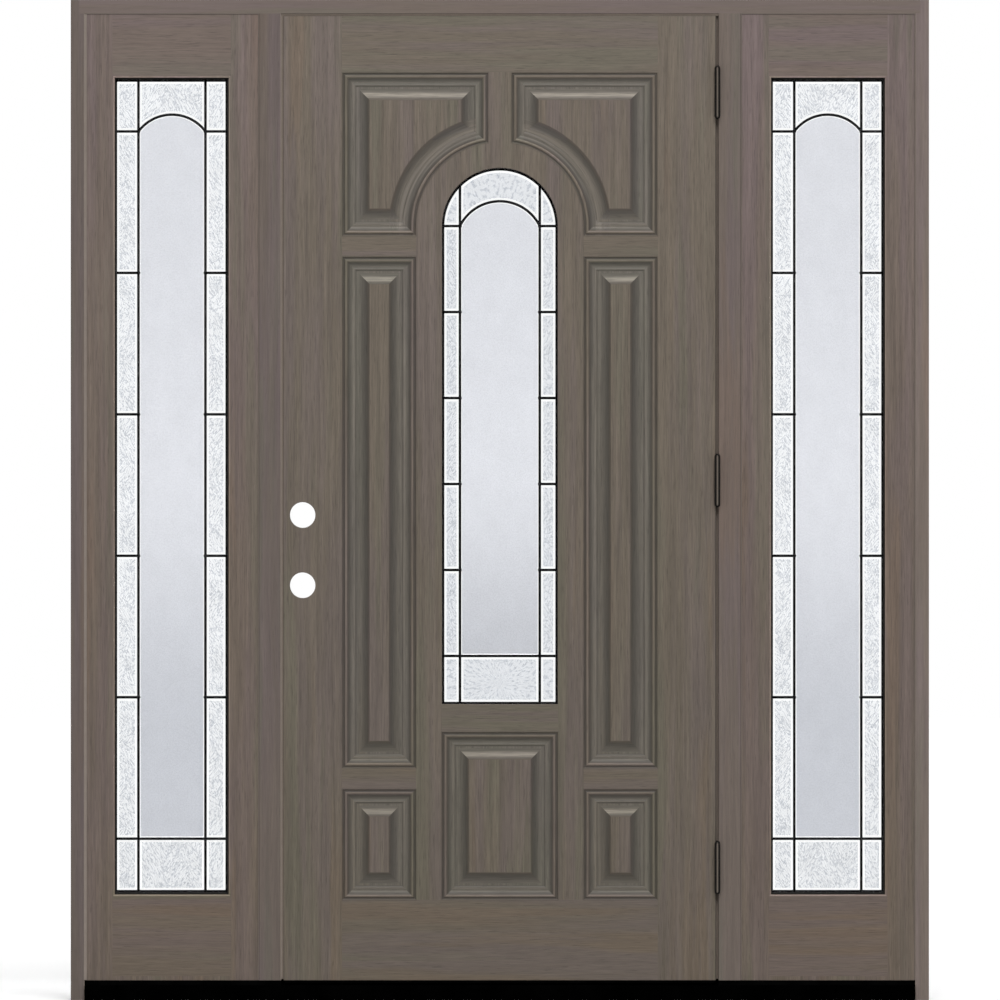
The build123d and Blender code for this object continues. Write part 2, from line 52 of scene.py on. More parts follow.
def srgb(red, green, blue):
    def straight(value):
        value /= 255
        return value / 12.92 if value <= 0.04045 else ((value + 0.055) / 1.055) ** 2.4
    return straight(red), straight(green), straight(blue), 1.0


def grey(value):
    return value, value, value, 1.0


# Node trees are wired through this small bench: numbers, tuples and sockets all feed the same way.
class Bench:
    def __init__(self, tree):
        self.tree = tree
        tree.nodes.clear()

    def put(self, kind, **settings):
        made = self.tree.nodes.new(kind)
        for key, value in settings.items():
            setattr(made, key, value)
        return made

    def feed(self, socket, value):
        if isinstance(value, bpy.types.NodeSocket):
            self.tree.links.new(value, socket)
        elif value is not None:
            socket.default_value = value

    def calc(self, operation, *values):
        made = self.put("ShaderNodeMath", operation=operation)
        for socket, value in zip(made.inputs, values):
            self.feed(socket, value)
        return made.outputs[0]

    def times(self, first, second):
        return self.calc("MULTIPLY", first, second)

    def plus(self, first, second):
        return self.calc("ADD", first, second)

    def minus(self, first, second):
        return self.calc("SUBTRACT", first, second)

    def size(self, value):
        return self.calc("ABSOLUTE", value)

    def near(self, value, centre, half):
        return self.calc("COMPARE", value, centre, half)

    def reach(self, x, z):
        return self.calc("SQRT", self.plus(self.times(x, x), self.times(z, z)))

    def span(self, value, low, high, toLow=0.0, toHigh=1.0, kind="LINEAR"):
        made = self.put("ShaderNodeMapRange", interpolation_type=kind)
        for socket, item in zip(made.inputs, (value, low, high, toLow, toHigh)):
            self.feed(socket, item)
        return made.outputs[0]

    def between(self, factor, first, second):
        made = self.put("ShaderNodeMix", data_type="FLOAT")
        for socket, item in zip((made.inputs[0], made.inputs[2], made.inputs[3]), (factor, first, second)):
            self.feed(socket, item)
        return made.outputs[0]

    def tint(self, factor, first, second, blend="MIX"):
        made = self.put("ShaderNodeMix", data_type="RGBA", blend_type=blend)
        for socket, item in zip((made.inputs[0], made.inputs[6], made.inputs[7]), (factor, first, second)):
            self.feed(socket, item)
        return made.outputs[2]

    def dimmed(self, colour, shade):
        return self.tint(1.0, colour, self.point(shade, shade, shade), "MULTIPLY")

    def point(self, x, y, z):
        made = self.put("ShaderNodeCombineXYZ")
        for socket, item in zip(made.inputs, (x, y, z)):
            self.feed(socket, item)
        return made.outputs[0]

    def split(self, vector):
        made = self.put("ShaderNodeSeparateXYZ")
        self.feed(made.inputs[0], vector)
        return made.outputs

    def scaled(self, vector, scale, shift=(0, 0, 0)):
        made = self.put("ShaderNodeVectorMath", operation="MULTIPLY_ADD")
        for socket, item in zip(made.inputs, (vector, scale, shift)):
            self.feed(socket, item)
        return made.outputs[0]

    def noise(self, vector, detail=2.0, rough=0.5, warp=0.0):
        made = self.put("ShaderNodeTexNoise")
        self.feed(made.inputs["Vector"], vector)
        made.inputs["Scale"].default_value = 1.0
        made.inputs["Detail"].default_value = detail
        made.inputs["Roughness"].default_value = rough
        made.inputs["Distortion"].default_value = warp
        return made.outputs["Fac"]

    def cells(self, vector, feature="F1"):
        made = self.put("ShaderNodeTexVoronoi", feature=feature)
        self.feed(made.inputs["Vector"], vector)
        made.inputs["Scale"].default_value = 1.0
        return made.outputs["Distance"]

    def bump(self, height, distance, strength=1.0, normal=None):
        made = self.put("ShaderNodeBump")
        self.feed(made.inputs["Height"], height)
        made.inputs["Distance"].default_value = distance
        made.inputs["Strength"].default_value = strength
        self.feed(made.inputs["Normal"], normal)
        return made.outputs[0]

    def place(self):
        return self.put("ShaderNodeTexCoord").outputs["Object"]

    def facing(self):
        return self.split(self.put("ShaderNodeTexCoord").outputs["Normal"])

    def painted(self, layer):
        return self.put("ShaderNodeAttribute", attribute_name=layer).outputs["Fac"]

    def surface(self, **sockets):
        shader = self.put("ShaderNodeBsdfPrincipled")
        for key, value in sockets.items():
            self.feed(shader.inputs[key.replace("_", " ")], value)
        return shader.outputs[0]

    def finish(self, shader, kind="ShaderNodeOutputMaterial"):
        output = self.put(kind)
        self.feed(output.inputs["Surface"], shader)


def newFinish(name):
    material = bpy.data.materials.new(name)
    material.use_nodes = True
    return material, Bench(material.node_tree)


def wear(nodeNames, material):
    for name in nodeNames:
        piece = nodes[name]
        if not piece.material_slots:
            piece.data.materials.append(material)
        for slot in piece.material_slots:
            slot.material = material


# Camera: straight on, far back on a long lens, so that the unit's face fills the frame from sill to head.
cameraSettings = dict(lens=400.0, span=2.0985, x=0.0003, height=1.05, face=-0.058)


def setCamera():
    data = bpy.data.cameras.new("catalogueCamera")
    data.lens = cameraSettings["lens"]
    data.clip_end = 200
    camera = bpy.data.objects.new("catalogueCamera", data)
    away = cameraSettings["span"] * data.lens / data.sensor_width
    camera.location = (cameraSettings["x"], cameraSettings["face"] - away, cameraSettings["height"])
    camera.rotation_euler = (math.radians(90), 0, 0)
    scene.collection.objects.link(camera)
    scene.camera = camera


# Studio: soft high key, pale floor, white backdrop for the camera, mirrors and glass.
studio = dict(
    keyStrength=2.3, keyHeight=50, keyTurn=8, keySpread=32,
    skyStrength=0.42, floorTone=0.78, floorLift=0.3, floorSize=60.0,
)


def seesBackdrop(bench):
    path = bench.put("ShaderNodeLightPath").outputs
    return bench.calc("MAXIMUM", bench.calc("MAXIMUM", path["Is Camera Ray"], path["Is Glossy Ray"]),
                      path["Is Transmission Ray"])


def setStudio():
    sky = bpy.data.worlds.new("studioSky")
    sky.use_nodes = True
    bench = Bench(sky.node_tree)
    soft, white = bench.put("ShaderNodeBackground"), bench.put("ShaderNodeBackground")
    soft.inputs["Color"].default_value = grey(1.0)
    soft.inputs["Strength"].default_value = studio["skyStrength"]
    white.inputs["Color"].default_value = grey(1.0)
    choose = bench.put("ShaderNodeMixShader")
    bench.feed(choose.inputs[0], seesBackdrop(bench))
    bench.feed(choose.inputs[1], soft.outputs[0])
    bench.feed(choose.inputs[2], white.outputs[0])
    bench.finish(choose.outputs[0], "ShaderNodeOutputWorld")
    scene.world = sky

    data = bpy.data.lights.new("highKey", "SUN")
    data.energy = studio["keyStrength"]
    data.angle = math.radians(studio["keySpread"])
    key = bpy.data.objects.new("highKey", data)
    height, turn = math.radians(studio["keyHeight"]), math.radians(studio["keyTurn"])
    level = math.cos(height)
    towards = Vector((math.sin(turn) * level, -math.cos(turn) * level, math.sin(height)))
    key.rotation_euler = towards.to_track_quat("Z", "Y").to_euler()
    key.location = towards * 6
    scene.collection.objects.link(key)

    mesh = bpy.data.meshes.new("studioFloor")
    half = studio["floorSize"] / 2
    corners = [(-half, -half, 0), (half, -half, 0), (half, half, 0), (-half, half, 0)]
    mesh.from_pydata(corners, [], [(0, 1, 2, 3)])
    floor = bpy.data.objects.new("studioFloor", mesh)
    scene.collection.objects.link(floor)
    material, bench = newFinish("paleFloor")
    paint = bench.surface(Base_Color=grey(studio["floorTone"]), Roughness=1.0, Specular_IOR_Level=0.0)
    lift = bench.put("ShaderNodeEmission")
    lift.inputs["Color"].default_value = grey(1.0)
    bench.feed(lift.inputs["Strength"], bench.times(seesBackdrop(bench), studio["floorLift"]))
    both = bench.put("ShaderNodeAddShader")
    bench.feed(both.inputs[0], paint)
    bench.feed(both.inputs[1], lift.outputs[0])
    bench.finish(both.outputs[0])
    mesh.materials.append(material)


# Boards: where the grain lies flat on each stained piece, as (centre x, half width, centre z, half height).
stile = 0.3313
doorRails = (
    (0.0, stile, 2.0068, 0.0590),     # top rail
    (0.0, stile, 0.1265, 0.0846),     # bottom rail
    (0.2537, 0.0777, 1.5834, 0.0210),  # between upper and long panels
    (0.2537, 0.0777, 0.4655, 0.0217),  # between long and low panels
    (0.0, 0.1223, 0.5915, 0.0276),    # under the glass
)
sideliteRails = (
    (0.68875, 0.1245, 2.0047, 0.0653),
    (0.68875, 0.1245, 0.1420, 0.0911),
)

stain = dict(
    warm=srgb(102, 90, 79), brown=srgb(99, 90, 80), green=srgb(97, 91, 80), plum=srgb(100, 90, 85),
    hueScale=(16.0, 16.0, 0.9), hueShift=(7.3, 2.1, 4.4), streakScale=(150.0, 150.0, 3.4),
    fineScale=(420.0, 420.0, 16.0), poreScale=(900.0, 900.0, 34.0), wanderScale=(9.0, 9.0, 2.2),
    wander=0.012, boardShift=3.7, streakDepth=0.38, lyingDepth=0.4, fineDepth=0.36, poreDepth=0.26,
    shine=0.30, rough=0.52, thinStainAndHighlight=srgb(158, 146, 132), thinStainAndHighlightShare=0.55, grainBump=0.0004,
)
# What a stained material may change; a painted line is a line of painted shade or light with its centre, half width
# and how dark it is
wood = dict(
    boards=(), lying=False, glaze=None, arris=(), tone=1.0, smooth=1.0, seams=(), cast=None, lip=None,
    # fadeUp: painted shade, the wood darker at the foot of the unit and lighter at its head
    fadeAcross=0.0, fadeUp=(0.93, 1.06),
)


def lyingFlat(bench, x, z, boards):
    flat = 0.0
    for centreX, halfX, centreZ, halfZ in boards:
        board = bench.times(bench.near(x, centreX, halfX), bench.near(z, centreZ, halfZ))
        flat = bench.calc("MAXIMUM", flat, board)
    return flat


# How far a point lies below the leaf's face, on either side of it
def belowFace(bench, y, glaze):
    middle, half = (glaze["front"] + glaze["back"]) / 2, (glaze["back"] - glaze["front"]) / 2
    return bench.minus(half, bench.size(bench.minus(y, middle)))


# Whether a point is on the arched moulding, how far it is from the arch's centre and how far along
def alongArch(bench, x, z, depth, glaze):
    rise = bench.minus(z, glaze["spring"])
    radius = bench.reach(x, rise)
    turn = bench.times(bench.calc("ARCTAN2", rise, x), glaze["arch"])
    curved = bench.near(radius, glaze["arch"] + glaze["halfMoulding"], glaze["halfMoulding"] + 0.0002)
    for value, least in ((rise, -0.02), (depth, 0.0012), (bench.size(x), 0.05)):
        curved = bench.times(curved, bench.calc("GREATER_THAN", value, least))
    return curved, radius, turn


# Glaze and painted shade: dark in the mouldings' hollows, thin on their ridges, painted bright where a slope looks up
def glazeAndPaintedLight(bench, shade, streak, fine, nz):
    mark = bench.painted("wipedAndShaded")
    ragged = bench.times(bench.span(streak, 0.3, 0.7, 0.8, 1.2), bench.span(nz, -0.35, 0.0, 0.75, 1.0))
    high = bench.span(nz, 0.06, 0.2, 0.0, 1.0, "SMOOTHSTEP")
    # Painted light: ridges that face down are lightened
    lifted = bench.times(bench.calc("MAXIMUM", mark, 0.0), bench.span(nz, -0.2, 0.0, 1.4, 0.0))
    mark = bench.times(bench.times(mark, ragged), bench.minus(1.0, high))
    shade = bench.times(shade, bench.plus(bench.plus(mark, lifted), 1.0))
    # Painted highlight on the slopes that look up, along the profile's highlight curve
    paintedHighlight = bench.times(bench.times(bench.painted("wearAndHighlight"), high), bench.span(fine, 0.3, 0.6, 0.75, 1.25))
    return bench.calc("MULTIPLY_ADD", paintedHighlight, shade, shade)


# Painted highlight: the chamfer round a sidelite's glass is painted lighter, most of all where it looks down
def paintLipHighlight(bench, shade, lip):
    facing = bench.facing()
    chamfer = bench.near(bench.size(facing[1]), 0.7, 0.24)
    under = bench.times(chamfer, bench.calc("LESS_THAN", facing[2], -0.3))
    shade = bench.times(shade, bench.span(chamfer, 0, 1, 1.0, lip))
    return bench.times(shade, bench.span(under, 0, 1, 1.0, 1.5))


def mixHues(bench, grain):
    hue = bench.noise(bench.scaled(grain, stain["hueScale"]), 3.0, 0.6)
    other = bench.noise(bench.scaled(grain, stain["hueScale"], stain["hueShift"]), 3.0, 0.6)
    colour = bench.tint(bench.span(hue, 0.40, 0.60, kind="SMOOTHSTEP"), stain["brown"], stain["plum"])
    colour = bench.tint(bench.span(other, 0.52, 0.66, kind="SMOOTHSTEP"), colour, stain["green"])
    return bench.tint(bench.span(other, 0.44, 0.32, kind="SMOOTHSTEP"), colour, stain["warm"])


def stainedWood(name, **changes):
    w = {**wood, **changes}
    glaze, smooth = w["glaze"], w["smooth"]
    material, bench = newFinish(name)
    x, y, z = bench.split(bench.place())
    mirrored = bench.size(x)
    flat = 1.0 if w["lying"] else lyingFlat(bench, mirrored, z, w["boards"])
    if glaze:
        depth = belowFace(bench, y, glaze)
        nx, ny, nz = bench.facing()
        leaning = bench.calc("GREATER_THAN", bench.minus(bench.size(nz), bench.size(nx)), 0.06)
        flat = bench.calc("MAXIMUM", flat, leaning)
    across, along = bench.between(flat, x, z), bench.between(flat, z, x)
    if glaze:
        # The arched moulding's grain follows its curve
        curved, radius, turn = alongArch(bench, x, z, depth, glaze)
        across, along = bench.between(curved, across, radius), bench.between(curved, along, turn)
    shifted = bench.plus(y, bench.times(flat, stain["boardShift"]))
    grain = bench.scaled(bench.point(across, shifted, along), stain["wanderScale"])
    across = bench.calc("MULTIPLY_ADD", bench.minus(bench.noise(grain, 2.0), 0.5), stain["wander"], across)
    grain = bench.point(across, shifted, along)

    colour = mixHues(bench, grain)
    streak = bench.noise(bench.scaled(grain, stain["streakScale"]), 4.0, 0.55)
    fine = bench.noise(bench.scaled(grain, stain["fineScale"]), 3.0, 0.6)
    pore = bench.noise(bench.scaled(grain, stain["poreScale"]), 1.0, 0.5)
    pore = bench.span(pore, 0.60, 0.72, kind="SMOOTHSTEP")
    streaky, speckled = stain["streakDepth"] * smooth, stain["fineDepth"] * smooth / 2
    swing = bench.span(flat, 0, 1, streaky, streaky * stain["lyingDepth"])
    shade = bench.calc("MULTIPLY_ADD", bench.span(streak, 0.28, 0.72, -0.5, 0.5), swing, 1.0)
    shade = bench.times(shade, bench.span(fine, 0.28, 0.72, 1 - speckled, 1 + speckled))
    shade = bench.times(shade, bench.span(pore, 0, 1, 1.0, 1 - stain["poreDepth"] * smooth))
    # Painted shade: darker towards the foot of the unit, lighter towards its head
    shade = bench.times(shade, bench.span(z, 0.1, 2.1, *[fade * w["tone"] for fade in w["fadeUp"]]))
    if w["fadeAcross"]:
        shade = bench.times(shade, bench.span(x, -0.9, 0.9, 1 - w["fadeAcross"], 1 + w["fadeAcross"]))
    if glaze:
        shade = glazeAndPaintedLight(bench, shade, streak, fine, nz)
        # Along the arch, painted shade lies with the glaze beside the bead, and painted highlights light the top of
        # the bead and the swell behind the ridge
        for away, reach, amount in glaze["archPaintedBands"]:
            far = bench.size(bench.minus(radius, glaze["arch"] + away))
            band = bench.times(curved, bench.span(far, 0.0, reach, amount, 0.0))
            shade = bench.times(shade, bench.plus(band, 1.0))
        # The hollows turn greyer and darker: partly glaze, partly painted shade
        recessGlazeShade = bench.span(depth, 0.0008, 0.004, 0.0, glaze["greyed"], "SMOOTHSTEP")
        colour = bench.tint(recessGlazeShade, colour, glaze["grey"])
    if w["lip"]:
        shade = paintLipHighlight(bench, shade, w["lip"])
    # Painted lines: a painted shadow along the leaf's hinge edge, a darker and a lighter line beside the sidelites'
    # glass
    for centre, half, dim in w["seams"]:
        line = bench.near(x if glaze else mirrored, centre, half)
        shade = bench.times(shade, bench.span(line, 0, 1, 1.0, dim))
    colour = bench.dimmed(colour, shade)
    if w["cast"]:
        # A cast at the foot of the unit and one at its head
        colour = bench.tint(1.0, colour, bench.tint(bench.span(z, 0.1, 2.1), *w["cast"]), "MULTIPLY")
    for centre, half in w["arris"]:
        # Thin stain and a painted highlight along a sharp edge
        line = bench.times(bench.near(mirrored, centre, half), stain["thinStainAndHighlightShare"])
        colour = bench.tint(line, colour, stain["thinStainAndHighlight"])
    relief = bench.minus(bench.times(fine, 0.6), bench.times(pore, 0.5))
    relief = bench.plus(relief, bench.times(streak, 0.5))
    rough = bench.span(fine, 0.3, 0.7, stain["rough"] - 0.05, stain["rough"] + 0.08)
    bench.finish(bench.surface(Base_Color=colour, Roughness=rough, Specular_IOR_Level=stain["shine"],
                               Normal=bench.bump(relief, stain["grainBump"] * smooth, 0.5)))
    return material


# Casts at the foot and the head of the unit
casts = dict(leaf=((1.0, 1.0, 0.94, 1), (1.0, 1.0, 1.0, 1)),
             beside=((1.03, 0.98, 0.93, 1), (1.04, 0.98, 1.07, 1)),
             plum=((1.0, 0.97, 1.04, 1),) * 2, head=((1.02, 0.98, 1.05, 1),) * 2)
# Bands of painted shade and highlight along the arch: distance from the glass side of the moulding, half width and
# amount
leafGlazeAndShade = dict(front=-0.057, back=-0.01255, spring=1.6254, arch=0.176, halfMoulding=0.028, greyed=0.65,
                 grey=srgb(92, 89, 83),
                 archPaintedBands=((0.0058, 0.0025, 0.30), (0.0099, 0.0045, -0.42), (0.0165, 0.0050, -0.2),
                            (0.0225, 0.0040, -0.12), (0.0335, 0.0100, 0.32)))
# Painted lines of light and shade: a shadow at the leaf's hinge edge, lines beside the sidelites' glass, highlights
# along the jamb and strike edges
sheen = dict(leafEdge=(0.4530, 0.0011, 0.45), sideliteLipLines=((0.5643, 0.0006, 0.93), (0.8133, 0.0006, 1.06)),
             jambArris=(0.8717, 0.0012), strikeArris=(0.4588, 0.0014))


def finishWood():
    leafStain = stainedWood("stainedLeaf", boards=doorRails, glaze=leafGlazeAndShade, seams=(sheen["leafEdge"],),
                            cast=casts["leaf"], fadeUp=(0.83, 1.13))
    leafSkin("doorOuterSkin", "door_outer_skin", False, leafStain)
    leafSkin("doorInnerSkin", "door_inner_skin", True, leafStain)
    beside = stainedWood("stainedSidelite", boards=sideliteRails, lip=1.8, cast=casts["beside"],
                         seams=sheen["sideliteLipLines"], fadeUp=(0.86, 1.16))
    wear([f"{side}_sidelite_{part}_skin" for side in sides for part in ("outer", "inner")], beside)
    posts = dict(smooth=0.6, cast=casts["plum"], arris=(sheen["jambArris"],))
    plain = stainedWood("stainedPosts", **posts, tone=0.97, fadeAcross=0.11)
    wear(("left_side_jamb", "hinge_mullion"), plain)
    struck = stainedWood("stainedStrikeMullion", **{**posts, "arris": (sheen["strikeArris"],)}, tone=0.93)
    wear(("strike_mullion",), struck)
    wear(("right_side_jamb",), stainedWood("stainedRightJamb", **posts, tone=1.26))
    wear(("head_jamb",), stainedWood("stainedHead", lying=True, smooth=0.45, tone=1.08, cast=casts["head"]))
    edges = stainedWood("stainedEdges", tone=0.9)
    wear(["door_lock_stile", "door_hinge_stile"] + [f"{side}_sidelite_stiles" for side in sides], edges)
    across = stainedWood("stainedRails", lying=True, tone=0.9)
    wear(["door_top_rail", "door_bottom_rail"] + [f"{side}_sidelite_rails" for side in sides], across)
    print("wood stained")


# Leaf skins: a moulded sheet on each side of the leaf, with its panels pressed in.
leaf = dict(
    half=0.4538, bottom=0.042, top=2.0658, front=-0.057, back=-0.01255, sheet=0.0022, ease=0.0007,
    lockBevel=0.0022, spring=1.6254, arch=0.176, liteHalf=0.1214, liteBottom=0.6216, chamfer=0.0012,
    collar=0.0094, boreRadius=0.027, boreX=-0.4142, boreHeights=(0.8709, 1.0185), plate=0.0025,
    hinges=(1.9055, 1.091, 0.2786), plateHalf=0.051, arcPieces=30,
)
# Panels as left, right, bottom, top; the upper one is hollowed by the arch
panels = dict(upper=(-0.3305, -0.0246, 1.6044, 1.9466), long=(-0.3305, -0.176, 0.4872, 1.5602),
              low=(-0.3305, -0.176, 0.2111, 0.4426), centre=(-0.1219, 0.1219, 0.2111, 0.5627))
# The moulding's profile in millimetres, inward from a panel's outline and down from the leaf's face
moulding = dict(
    quirk=((-3.0, 0.0), (-1.6, 0.0), (-0.5, 0.0), (0.0, 0.12), (0.4, 0.5), (0.9, 1.5), (1.5, 2.2),
           (3.6, 2.2), (4.3, 1.9)),
    beadFrom=4.4, beadWide=6.2, beadLow=1.9, beadHigh=0.25, fillet=((10.4, 1.1), (10.8, 1.25)),
    coveTo=20.5, coveDepth=6.0,
    listel=((21.4, 6.0), (22.6, 5.72), (23.8, 5.3), (24.8, 4.95), (25.5, 4.82), (26.6, 4.9), (27.4, 5.5),
            (28.2, 6.35), (29.0, 6.62)),
    scoopTo=55.6, scoopRise=5.3, scoopPower=2.2, edge=((56.3, 1.12), (57.0, 0.95), (58.2, 0.9)),
)
# How much the stain lightens or darkens the wood along that profile: glaze wiped off a hollow or a ridge, with
# painted shade in the hollows, and a painted highlight on the slopes that look up
# Glaze with painted shade in the hollows, along the profile
wipedAndShaded = (
    (-3.0, 0.0), (-1.6, -0.12), (0.0, -0.24), (0.9, -0.46), (4.2, -0.50), (5.2, -0.34),  # quirk
    (6.2, 0.02), (8.4, 0.08), (9.6, -0.14), (10.8, -0.34),  # bead
    (12.6, -0.40), (14.6, -0.35), (16.8, -0.22), (19.0, -0.08), (21.4, 0.08),  # cove
    (23.8, 0.28), (25.5, 0.20), (27.0, -0.04), (28.6, -0.18), (30.4, 0.02),  # listel and crease
    (33.0, 0.04), (36.0, -0.03), (39.0, -0.12), (42.0, -0.24),  # scoop
    (46.0, -0.38), (50.0, -0.49), (54.5, -0.55), (56.3, -0.42), (57.2, -0.22), (58.2, 0.0),
)
# The painted highlight on the slopes that look up, along the profile
wearAndHighlight = (
    (-3.0, 0.0), (3.0, -0.40), (5.2, -0.45), (6.6, 0.40), (8.0, 0.75), (9.5, 0.30),  # quirk and bead
    (11.0, -0.26), (13.6, -0.28), (15.8, -0.05), (17.8, 0.36), (20.0, 0.20), (21.9, -0.20),  # cove
    (24.0, -0.05), (26.0, 0.10), (27.5, -0.12), (29.0, -0.12), (31.0, 0.0), (37.0, 0.0),  # listel and crease
    (38.7, 0.10), (40.8, 0.36), (43.0, 0.80), (45.0, 1.08), (47.0, 1.10), (49.2, 0.85),  # scoop
    (51.3, 0.32), (53.4, -0.17), (55.5, -0.36), (57.2, 0.05), (58.2, 0.0),
)


def mouldingProfile():
    m = moulding
    points = list(m["quirk"])
    for step in range(1, 9):
        turn = math.radians(12 + step * 16)
        points.append((m["beadFrom"] + m["beadWide"] / 2 * (1 - math.cos(turn)),
                       m["beadLow"] - (m["beadLow"] - m["beadHigh"]) * math.sin(turn)))
    points += m["fillet"]
    startAt, startDepth = points[-1]
    for step in range(1, 8):
        share = step / 7
        points.append((startAt + share * (m["coveTo"] - startAt),
                       startDepth + (1 - (1 - share) ** 2) * (m["coveDepth"] - startDepth)))
    points += m["listel"]
    startAt, startDepth = points[-1]
    for step in range(1, 13):
        share = step / 12
        points.append((startAt + share * (m["scoopTo"] - startAt),
                       startDepth - m["scoopRise"] * share ** m["scoopPower"]))
    points += m["edge"]
    return [(inset / 1000, depth / 1000) for inset, depth in points]


def amountAt(curve, inset):
    millimetres = inset * 1000
    for (start, first), (end, last) in zip(curve, curve[1:]):
        if millimetres <= end:
            return first + (last - first) * max(0.0, millimetres - start) / (end - start)
    return curve[-1][1]


def squareLoop(box, inset):
    left, right, low, high = box
    return [(left + inset, low + inset), (right - inset, low + inset), (right - inset, high - inset),
            (left + inset, high - inset)]


def archedLoop(box, inset):
    left, right, low, high = box[0] + inset, box[1] - inset, box[2] + inset, box[3] - inset
    spring, reach = leaf["spring"], leaf["arch"] + inset
    first = math.acos(right / reach)
    last = math.pi - math.asin(max(low - spring, 0) / reach)
    arc = []
    for step in range(leaf["arcPieces"] + 1):
        angle = last + (first - last) * step / leaf["arcPieces"]
        arc.append((reach * math.cos(angle), spring + reach * math.sin(angle)))
    return [(left, low), (arc[0][0], low), *arc, (right, high), (left, high)]


def liteLoop(margin):
    half, low = leaf["liteHalf"] + margin, leaf["liteBottom"] - margin
    points = [(-half, low), (half, low)]
    pieces = leaf["arcPieces"] * 2
    for step in range(pieces + 1):
        angle = math.pi * step / pieces
        points.append((half * math.cos(angle), leaf["spring"] + half * math.sin(angle)))
    return points


def boreLoop(height, margin):
    radius, x = leaf["boreRadius"] + margin, leaf["boreX"]
    return [(x + radius * math.cos(turn), height + radius * math.sin(turn)) for turn in turned(48)]


def edgeLoop(left, notched, inset):
    right = leaf["half"] - inset
    points = [(left + inset, leaf["bottom"] + inset), (right, leaf["bottom"] + inset)]
    for height in sorted(leaf["hinges"]) if notched else ():
        low, high = height - leaf["plateHalf"] - inset, height + leaf["plateHalf"] + inset
        points += [(right, low), (right - leaf["plate"], low), (right - leaf["plate"], high), (right, high)]
    return points + [(right, leaf["top"] - inset), (left + inset, leaf["top"] - inset)]


def turned(count):
    return [2 * math.pi * step / count for step in range(count)]


# Rows of vertices round a closed section, joined from each to the next
def joinRows(shape, rows, closed=False):
    for row, following in zip(rows, rows[1:] + ([rows[0]] if closed else [])):
        for i in range(len(row)):
            shape.faces.new((row[i - 1], row[i], following[i], following[i - 1]))


def layRings(shape, loops, sharp=(), closeLast=False, wear=None):
    # Loops of (x, z) points with a depth each, joined from the first to the last
    rings = []
    for points, depth in loops:
        rings.append([shape.verts.new((x, leaf["front"] + depth, z)) for x, z in points])
    # Each ring may carry its glaze-and-painted-shade amount and its painted highlight amount
    if wear:
        layers = [shape.verts.layers.float[name] for name in ("wipedAndShaded", "wearAndHighlight")]
        for ring, amounts in zip(rings, wear):
            for vert in ring:
                for layer, amount in zip(layers, amounts):
                    vert[layer] = amount
    for outer, inner in zip(rings, rings[1:]):
        count = len(outer)
        for i in range(count):
            j = (i + 1) % count
            shape.faces.new((outer[i], outer[j], inner[j], inner[i]))
    for outer, inner in zip(rings, rings[1:]):
        for i in sharp:
            shape.edges.get((outer[i], inner[i])).smooth = False
    if closeLast:
        shape.faces.new(rings[-1])
    return [shape.edges.get((rings[0][i - 1], rings[0][i])) for i in range(len(rings[0]))]


def moulded(shape, name, mirrored):
    outline = archedLoop if name == "upper" else squareLoop
    loops = []
    profile = mouldingProfile()
    for inset, depth in profile:
        points = outline(panels[name], inset)
        if mirrored:
            points = [(-x, z) for x, z in reversed(points)]
        loops.append((points, depth))
    count = len(loops[0][0])
    corners = (0, 1, 2, 3)
    if name == "upper":
        corners = (0, 1, count - 3, count - 2, count - 1)
    if mirrored:
        corners = [count - 1 - corner for corner in corners]
    wear = [(amountAt(wipedAndShaded, inset), amountAt(wearAndHighlight, inset)) for inset, depth in profile]
    return layRings(shape, loops, corners, closeLast=True, wear=wear)


def leafSkin(pieceName, nodeName, inside, material):
    shape = bmesh.new()
    for name in ("wipedAndShaded", "wearAndHighlight"):
        shape.verts.layers.float.new(name)
    ease, sheet, chamfer = leaf["ease"], leaf["sheet"], leaf["chamfer"]
    left = -leaf["half"] + (leaf["lockBevel"] if inside else 0)
    eased = ((ease, 0.0), (ease * 0.3, ease * 0.3), (0.0, ease))
    rim = layRings(shape, [(edgeLoop(left, not inside, inset), depth) for inset, depth in eased])
    cutBack = ((chamfer, 0.0), (chamfer * 0.3, chamfer * 0.3), (0.0, chamfer), (0.0, leaf["collar"]))
    rim += layRings(shape, [(liteLoop(margin), depth) for margin, depth in cutBack], sharp=(0, 1))
    for height in leaf["boreHeights"]:
        bore = (*eased, (0.0, sheet))
        rim += layRings(shape, [(boreLoop(height, margin), depth) for margin, depth in bore])
    for name in panels:
        rim += moulded(shape, name, False)
        if name != "centre":
            rim += moulded(shape, name, True)
    bmesh.ops.triangle_fill(shape, edges=rim, use_beauty=True, normal=(0, -1, 0))
    bmesh.ops.remove_doubles(shape, verts=shape.verts, dist=1e-6)
    bmesh.ops.dissolve_degenerate(shape, edges=shape.edges, dist=1e-7)
    bmesh.ops.recalc_face_normals(shape, faces=shape.faces)
    lookout = min(shape.faces, key=lambda face: face.calc_center_median().y)
    if lookout.normal.y > 0:
        bmesh.ops.reverse_faces(shape, faces=shape.faces)
    if inside:
        for vert in shape.verts:
            vert.co.y = leaf["front"] + leaf["back"] - vert.co.y
        bmesh.ops.reverse_faces(shape, faces=shape.faces)
    piece = addPiece(pieceName, shape, (material,), "door", nodeName)
    thick = piece.modifiers.new("sheetThickness", "SOLIDIFY")
    thick.thickness = sheet - ease
    thick.offset = -1
    evenShade(piece)


def addPiece(name, shape, materials, body, replaced=None, smooth=True):
    for face in shape.faces:
        face.smooth = smooth
    mesh = bpy.data.meshes.new(name)
    for material in materials:
        mesh.materials.append(material)
    shape.to_mesh(mesh)
    shape.free()
    piece = bpy.data.objects.new(name, mesh)
    scene.collection.objects.link(piece)
    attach(piece, body)
    if replaced:
        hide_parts(replaced)
    return piece


